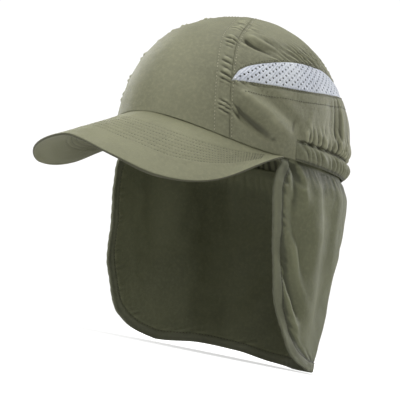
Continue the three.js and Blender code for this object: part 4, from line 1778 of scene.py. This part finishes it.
@dataclass
class Visor:
    """The curved visor board, covered in cloth and quilted with rows of stitches."""

    form: CapForm
    rows_count: int = 8
    first_row: float = 0.27
    row_step: float = 0.057
    row_bow: float = 0.35
    row_end: float = 0.9
    groove: float = 0.00028
    row_lift: float = 0.00006
    pitch: float = 0.00095

    def row_place(self, number: float, across: Array) -> Array:
        """How far out a row runs at a place across."""
        return (self.first_row + self.row_step * number) * (1 - self.row_bow * across**2)

    def relief(self, across: Array, out: Array, reach: Array) -> Array:
        """Grooves of the rows and the quilting between them.

        Args:
            across: From -1 to 1.
            out: From the rim 0 to the edge 1.
            reach: Metres from rim to edge at that place.

        Returns:
            Height over the plain face.
        """
        push = np.zeros(np.broadcast(across, out).shape)
        ends = step(np.abs(across), self.row_end + 0.02, self.row_end - 0.08)
        for number in range(self.rows_count):
            off = (out - self.row_place(number, across)) * reach
            push -= self.groove * bell(off, 0.0009) * ends
        points = self.form.visor(across, out)
        quilted = step(out, 0.1, 0.25) * step(out, 0.78, 0.66)
        push += 0.00012 * swell(points, 0.006, 61, 26) * quilted
        return push + 0.00022 * swell(points, 0.045, 62)

    def surface(self, across: Array, out: Array, face: Face) -> tuple[Array, Array]:
        """Point on the upper or the lower face and the direction off it.

        Args:
            across: From -1 at the right end to 1 at the left end.
            out: From the rim 0 to the edge 1.
            face: Outer or inner face.

        Returns:
            Points and unit normals.
        """
        across, out = np.broadcast_arrays(np.asarray(across, float), np.asarray(out, float))
        points, normal = self.form.visor(across, out), self.form.visor_normal(across, out)
        reach = np.linalg.norm(self.form.visor(across, 1.0) - self.form.visor(across, 0.0), axis=-1)
        push = self.relief(across, out, reach)
        taper = 0.55 + 0.45 * np.minimum(1, (1 - np.abs(across)) / 0.12)
        wall = self.form.visor_thickness * taper * (1 - 0.2 * step(out, 0.8, 0.96))
        if face is Face.OUTER:
            return points + normal * push[..., None], normal
        return points - normal * (wall + 0.8 * push)[..., None], -normal

    def shell(self) -> Piece:
        """The covered board.

        Returns:
            The visor.
        """
        turn = np.linspace(1, -1, 236)
        across = (np.sign(turn) * (1 - (1 - np.abs(turn)) ** 1.15))[:, None]
        out = graded(0.075, self.pitch, (0.0, 0.0003, 0.0007, 0.0011, 0.0016))[None, :]
        across, out = np.broadcast_arrays(across, out)
        upper, normal = self.surface(across, out, Face.OUTER)
        lower, _ = self.surface(across, out, Face.INNER)
        base = self.form.visor(across, out)
        length = np.linalg.norm(self.form.visor(across, 1.0) - self.form.visor(across, 0.0), axis=-1)
        edge = np.minimum((1 - out) * length, out * length + 0.0004)
        share = rounding(edge, 0.0013)[..., None]
        middle = (upper + lower) / 2
        outer, inner = middle + (upper - middle) * share, middle + (lower - middle) * share
        sideways, _ = grid_lengths(base)
        cloth = np.stack([sideways - sideways[len(sideways) // 2], out * length], -1)
        return Shell("visor_cover", outer, inner, cloth, edge).build()

    def rows(self) -> list[Row]:
        """The rows of stitches, on the upper and the lower face.

        Returns:
            The rows.
        """
        found = []
        across = np.linspace(-self.row_end, self.row_end, 520)
        for number in range(self.rows_count):
            for face in Face:
                points, normals = self.surface(across, self.row_place(number, across), face)
                found.append(Row(points + normals * self.row_lift, normals))
        return found

    def dress(self, needle: Needle, cloth: Material, thread: Material) -> None:
        """Builds the visor and quilts it."""
        needle.joiner.finish(self.shell(), "visor_cloth", cloth, ("visor",))
        needle.sew("visor_stitches", self.rows(), thread, "visor_cloth", 6, 0.9)


@dataclass
class NeckFlap:
    """The hanging cloth with its stitched hem."""

    form: CapForm
    work: ClothWork
    pitch: float = 0.00125
    hem_row: float = 0.0072
    row_lift: float = 0.00012
    near: tuple[float, ...] = (
        0.0, 0.0002, 0.0005, 0.0009, 0.0014, 0.0021, 0.003, 0.004, 0.005, 0.0059, 0.0065, 0.0069, 0.0072,
        0.0075, 0.0079, 0.0084, 0.009, 0.0097, 0.0105,
    )

    def faces(self, angle: Array, drop: Array) -> tuple[Array, Array, Array, Array]:
        """Both faces of the flap.

        Args:
            angle: Angle round the head.
            drop: Share of the way down.

        Returns:
            Outer points, inner points, outward directions and distance to the free edge.
        """
        form = self.form
        normal = form.flap_normal(angle, drop)
        edge = form.flap_edge_distance(angle, np.clip(drop, 0, 1))
        hem = step(edge, self.hem_row + 0.0008, self.hem_row - 0.0001) * np.clip(drop / 0.03, 0, 1)
        wall = form.cloth + (form.hem_thickness - form.cloth) * hem
        run = drop * form.flap_drop - 0.5 * angle * form.rim_step
        uneven = 0.0003 * np.sin(2 * np.pi * run / self.work.hem_pitch) * bell(edge - 0.0035, 0.003)
        drawn = uneven - 0.0009 * bell(edge - self.hem_row, 0.0008)
        wall = wall + drawn * np.clip(drop / 0.03, 0, 1)
        rounded = rounding(edge, 0.0017) * hem + (1 - hem)
        middle = form.flap(angle, drop) + normal * (self.work.flap(angle, drop) - form.cloth / 2)[..., None]
        half = normal * (wall * rounded / 2)[..., None]
        return middle + half, middle - half, normal, edge

    def grid(self) -> tuple[Array, Array]:
        """Grid of angles and shares of the way down, from the bottom edge up into the tuck.

        Returns:
            Angles and shares of the way down.
        """
        form = self.form
        rows = 1 - graded(form.flap_drop, self.pitch, self.near, both=False)
        top = np.array([-0.25, -0.5, -0.75, -1.0]) * form.flap_tuck / form.flap_drop
        drop = np.concatenate([rows, top])[None, :]
        start = form.flap_sections.through("edge", np.maximum(drop, 0)) - 2.2 * step(drop, 0.03, -0.01)
        fine = np.array(self.near)[:, None] / form.rim_step / form.flap_spread
        count = int((360 - 2 * 76) * form.rim_step * 1.08 / self.pitch)
        share = np.linspace(0, 1, count + 2)[1:-1, None]
        first = start + fine[-1]
        middle = first + (360 - 2 * first) * share
        angle = np.concatenate([start + fine, middle, (360 - start - fine)[::-1]])
        return angle, drop + 0 * angle

    def shell(self) -> Piece:
        """The cloth.

        Returns:
            The flap.
        """
        angle, drop = self.grid()
        outer, inner, _, edge = self.faces(angle, drop)
        sideways, rising = grid_lengths(outer)
        sideways = sideways - sideways[len(sideways) // 2]
        reach = self.work.relief_reach
        step_angle = reach / self.form.rim_step / self.form.flap_spread
        relief = relief_of(self.work.flap, angle, drop, step_angle, reach / self.form.flap_drop)
        hemmed = np.clip(drop / 0.03, 0, 1)
        # painted highlight along the hem's folded edge, and painted shade in the groove of its row and just
        # beyond it, through the relief
        ridge = 0.0003 * bell(edge - 0.002, 0.0018)
        relief += hemmed * (ridge - 0.0006 * bell(edge - self.hem_row, 0.0007))
        relief -= hemmed * 0.00035 * bell(edge - self.hem_row - 0.0016, 0.0014)
        # painted shade on the flap just under the casing
        relief -= 0.0005 * bell(drop * self.form.flap_drop - 0.004, 0.012)
        cloth = np.stack([sideways, rising], -1)
        return Shell("neck_flap_cloth", outer, inner, cloth, edge, relief).build()

    def flat_size(self) -> tuple[float, float, float]:
        """Width, length and area of the flap laid flat, from the form's middle surface.

        Returns:
            Metres, metres and square metres.
        """
        form = self.form
        drop = np.linspace(-form.flap_tuck / form.flap_drop, 1, 160)[None, :]
        start = form.flap_sections.through("edge", np.maximum(drop, 0))
        angle = start + (360 - 2 * start) * np.linspace(0, 1, 400)[:, None]
        across, falling = grid_lengths(form.flap(angle, drop + 0 * angle))
        widths, lengths = across[-1], falling[:, -1]
        area = float(((widths[1:] + widths[:-1]) / 2 * np.diff(falling[200])).sum())
        return float(widths.max()), float(lengths[200]), area

    def row(self, face: Face) -> Row:
        """The row of stitches that holds the hem, up one front edge, round and down the other.

        Args:
            face: Outer or inner face.

        Returns:
            The row.
        """
        form = self.form
        inset = self.hem_row
        drops = np.linspace(0.035, 1, 500)
        edge = form.flap_sections.through("edge", drops)
        path = np.stack([edge * form.rim_step * form.flap_spread, drops * form.flap_drop], -1)
        way = unit(np.gradient(path, axis=0))
        side = path + np.stack([way[:, 1], -way[:, 0]], -1) * inset
        side = side[side[:, 1] < form.flap_drop - inset]
        bottom_from = side[-1, 0]
        middle = 180 * form.rim_step * form.flap_spread
        level = np.linspace(bottom_from, middle, 300)[1:]
        left = np.concatenate([side, np.stack([level, np.full_like(level, form.flap_drop - inset)], -1)])
        right = np.stack([2 * middle - left[:-1, 0], left[:-1, 1]], -1)[::-1]
        whole = np.concatenate([left, right])
        angle, drop = whole[:, 0] / form.rim_step / form.flap_spread, whole[:, 1] / form.flap_drop
        outer, inner, normal, _ = self.faces(angle, drop)
        if face is Face.OUTER:
            return Row(outer + normal * self.row_lift, normal)
        return Row(inner - normal * self.row_lift, -normal)

    def dress(self, needle: Needle, cloth: Material, thread: Material) -> None:
        """Args:
            cloth: The cloth's material.
            thread: The thread's material.
        """
        flap = needle.joiner.finish(self.shell(), "flap_cloth", cloth, ("neck_flap",))
        rows = [self.row(Face.OUTER), self.row(Face.INNER)]
        # dark thread: real stitches, also standing in for shade in the groove of the hem row
        hem = needle.sew("hem_stitches", rows, thread, "flap_cloth", 8)
        width, length, area = self.flat_size()
        log.info("neck flap laid flat: %.3f by %.3f m, %.4f square metres", width, length, area)


# Floor, light and camera


@dataclass
class Studio:
    """Pale floor, soft light and the camera."""

    turn: float = 41.5
    tilt: float = -6.0
    roll: float = 11.5
    distance: float = 1.3
    lens: float = 153.0
    aim: tuple[float, float] = (-0.023, -0.0333)
    floor_height: float = -0.1502
    surround: float = 0.34
    floor_glow: float = 0.17

    def axes(self) -> tuple[Vector, Vector, Vector]:
        """The picture's right, the picture's up and the way back to the camera.

        Returns:
            Three unit vectors.
        """
        a, e, r = (math.radians(v) for v in (self.turn, self.tilt, self.roll))
        back = Vector((math.sin(a) * math.cos(e), -math.cos(a) * math.cos(e), math.sin(e)))
        right = Vector((math.cos(a), math.sin(a), 0))
        up = back.cross(right)
        return (math.cos(r) * right + math.sin(r) * up, math.cos(r) * up - math.sin(r) * right, back)

    def camera(self) -> None:
        """Sets the camera up."""
        right, up, back = self.axes()
        place = back * self.distance
        target = right * self.aim[0] + up * self.aim[1]
        depth = (place - target).normalized()
        across = up.cross(depth).normalized()
        above = depth.cross(across)
        data = bpy.data.cameras.new("camera")
        data.lens, data.sensor_width, data.sensor_fit = self.lens, 36.0, "HORIZONTAL"
        data.clip_start, data.clip_end = 0.05, 60.0
        eye = placed("camera", data)
        turned = Matrix((across, above, depth)).transposed().to_4x4()
        eye.matrix_world = Matrix.Translation(place) @ turned
        bpy.context.scene.camera = eye

    def floor(self) -> None:
        """A large pale floor under the flap's lowest point."""
        half = 9.0
        mesh = bpy.data.meshes.new("floor")
        z = self.floor_height
        corners = [(-half, -half, z), (half, -half, z), (half, half, z), (-half, half, z)]
        mesh.from_pydata(corners, [], [(0, 1, 2, 3)])
        floor = placed("floor", mesh)
        material, tree = blank_material("pale_floor")
        grain = tree.out("ShaderNodeTexNoise", {
            "Vector": tree.add("ShaderNodeTexCoord").outputs["Object"], "Scale": 40.0, "Detail": 2.0})
        tone = tree.mix(grain, (0.5, 0.5, 0.5, 1), (0.52, 0.52, 0.52, 1))
        matt = tree.out("ShaderNodeBsdfDiffuse", {"Color": tone})
        # painted shadow and painted light: seen by the camera the floor glows less near the cap, so it
        # reads darker round it; as light it glows evenly and more weakly, lighting the cap from below
        spot = tree.add("ShaderNodeTexCoord").outputs["Object"]
        flat = tree.out("ShaderNodeVectorMath", {0: spot, 1: (1.0, 1.0, 0.0)}, operation="MULTIPLY")
        away = tree.add("ShaderNodeVectorMath", {0: flat}, operation="LENGTH").outputs["Value"]
        seen = tree.add("ShaderNodeLightPath").outputs["Is Camera Ray"]
        glow_with_painted_shadow = tree.spread(away, 0.1, 0.3, 0.6, 1.0)
        strength = tree.out("ShaderNodeMix", {0: seen, 2: self.floor_glow, 3: glow_with_painted_shadow})
        glow = tree.out("ShaderNodeEmission", {"Color": (1, 1, 1, 1), "Strength": strength})
        both = tree.add("ShaderNodeAddShader")
        tree.link(matt, both.inputs[0])
        tree.link(glow, both.inputs[1])
        tree.end("ShaderNodeOutputMaterial", both.outputs[0])
        mesh.materials.append(material)

    def softbox(self, name: str, place: tuple[float, float, float], size: tuple[float, float],
                power: float) -> None:
        """A soft rectangular light that faces the cap.

        Args:
            name: Name of the light.
            place: Its centre, in metres.
            size: Width and height in metres.
            power: Power in watts.
        """
        data = bpy.data.lights.new(name, "AREA")
        data.shape, data.size, data.size_y, data.energy = "RECTANGLE", size[0], size[1], power
        lamp = placed(name, data)
        lamp.location = place
        aim = Vector((0.0, 0.0, -0.02)) - Vector(place)
        lamp.rotation_euler = aim.to_track_quat("-Z", "Y").to_euler()

    def world(self) -> None:
        """White surroundings, dimmer as light than as a backdrop."""
        world = bpy.data.worlds.new("studio")
        bpy.context.scene.world = world
        world.use_nodes = True
        tree = Tree(world.node_tree)
        world.node_tree.nodes.clear()
        seen = tree.add("ShaderNodeLightPath").outputs["Is Camera Ray"]
        dim = tree.out("ShaderNodeBackground", {"Color": (1, 1, 1, 1), "Strength": self.surround})
        white = tree.out("ShaderNodeBackground", {"Color": (1, 1, 1, 1), "Strength": 1.05})
        both = tree.add("ShaderNodeMixShader", {0: seen})
        tree.link(dim, both.inputs[1])
        tree.link(white, both.inputs[2])
        tree.end("ShaderNodeOutputWorld", both.outputs[0])

    def build(self) -> None:
        """Sets the whole studio up."""
        self.camera()
        self.floor()
        self.world()
        self.softbox("key_softbox", (-0.42, -1.1, 1.1), (0.55, 0.55), 15.0)
        self.softbox("top_softbox", (0.1, 0.3, 1.5), (0.6, 0.6), 10.5)
        self.softbox("left_rim_softbox", (-1.4, 0.3, 0.5), (0.5, 0.8), 10.0)
        self.softbox("right_rim_softbox", (0.3, 1.6, 0.6), (0.5, 0.8), 11.0)
        self.softbox("low_fill_softbox", (1.45, -0.58, 0.05), (0.4, 0.4), 2.3)
        bpy.context.scene.view_settings.view_transform = "Standard"
        bpy.context.scene.view_settings.look = "None"
        log.info("studio: camera %.0f mm at %.2f m, floor at %.4f m", self.lens, self.distance,
                 self.floor_height)


def main() -> None:
    """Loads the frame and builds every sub-assembly."""
    logging.basicConfig(level=logging.INFO, format="%(name)s: %(message)s")
    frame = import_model()
    log.info("frame: %d nodes", len(frame["nodes"]))
    form = CapForm()
    work = ClothWork(form)
    looks = Wardrobe()
    joiner = Joiner()
    style = StitchTree()
    needle = Needle(style.tree(), style, joiner)
    crown_cloth = looks.crown.material()
    light_thread, olive_thread = looks.light_thread.material(), looks.olive_thread.material()
    dark_thread = looks.dark_thread.material()

    Studio().build()
    Crown(form, work).dress(needle, crown_cloth, light_thread, dark_thread)
    SideVents(form, PerforationTree()).dress(joiner, looks.vent.material())
    Casing(form, work).dress(needle, looks.casing.material(), dark_thread)
    Visor(form).dress(needle, looks.visor.material(), olive_thread)
    NeckFlap(form, work).dress(needle, looks.flap.material(), dark_thread)
    log.info("pieces: %s", ", ".join(joiner.made))


if __name__ == "__main__":
    main()
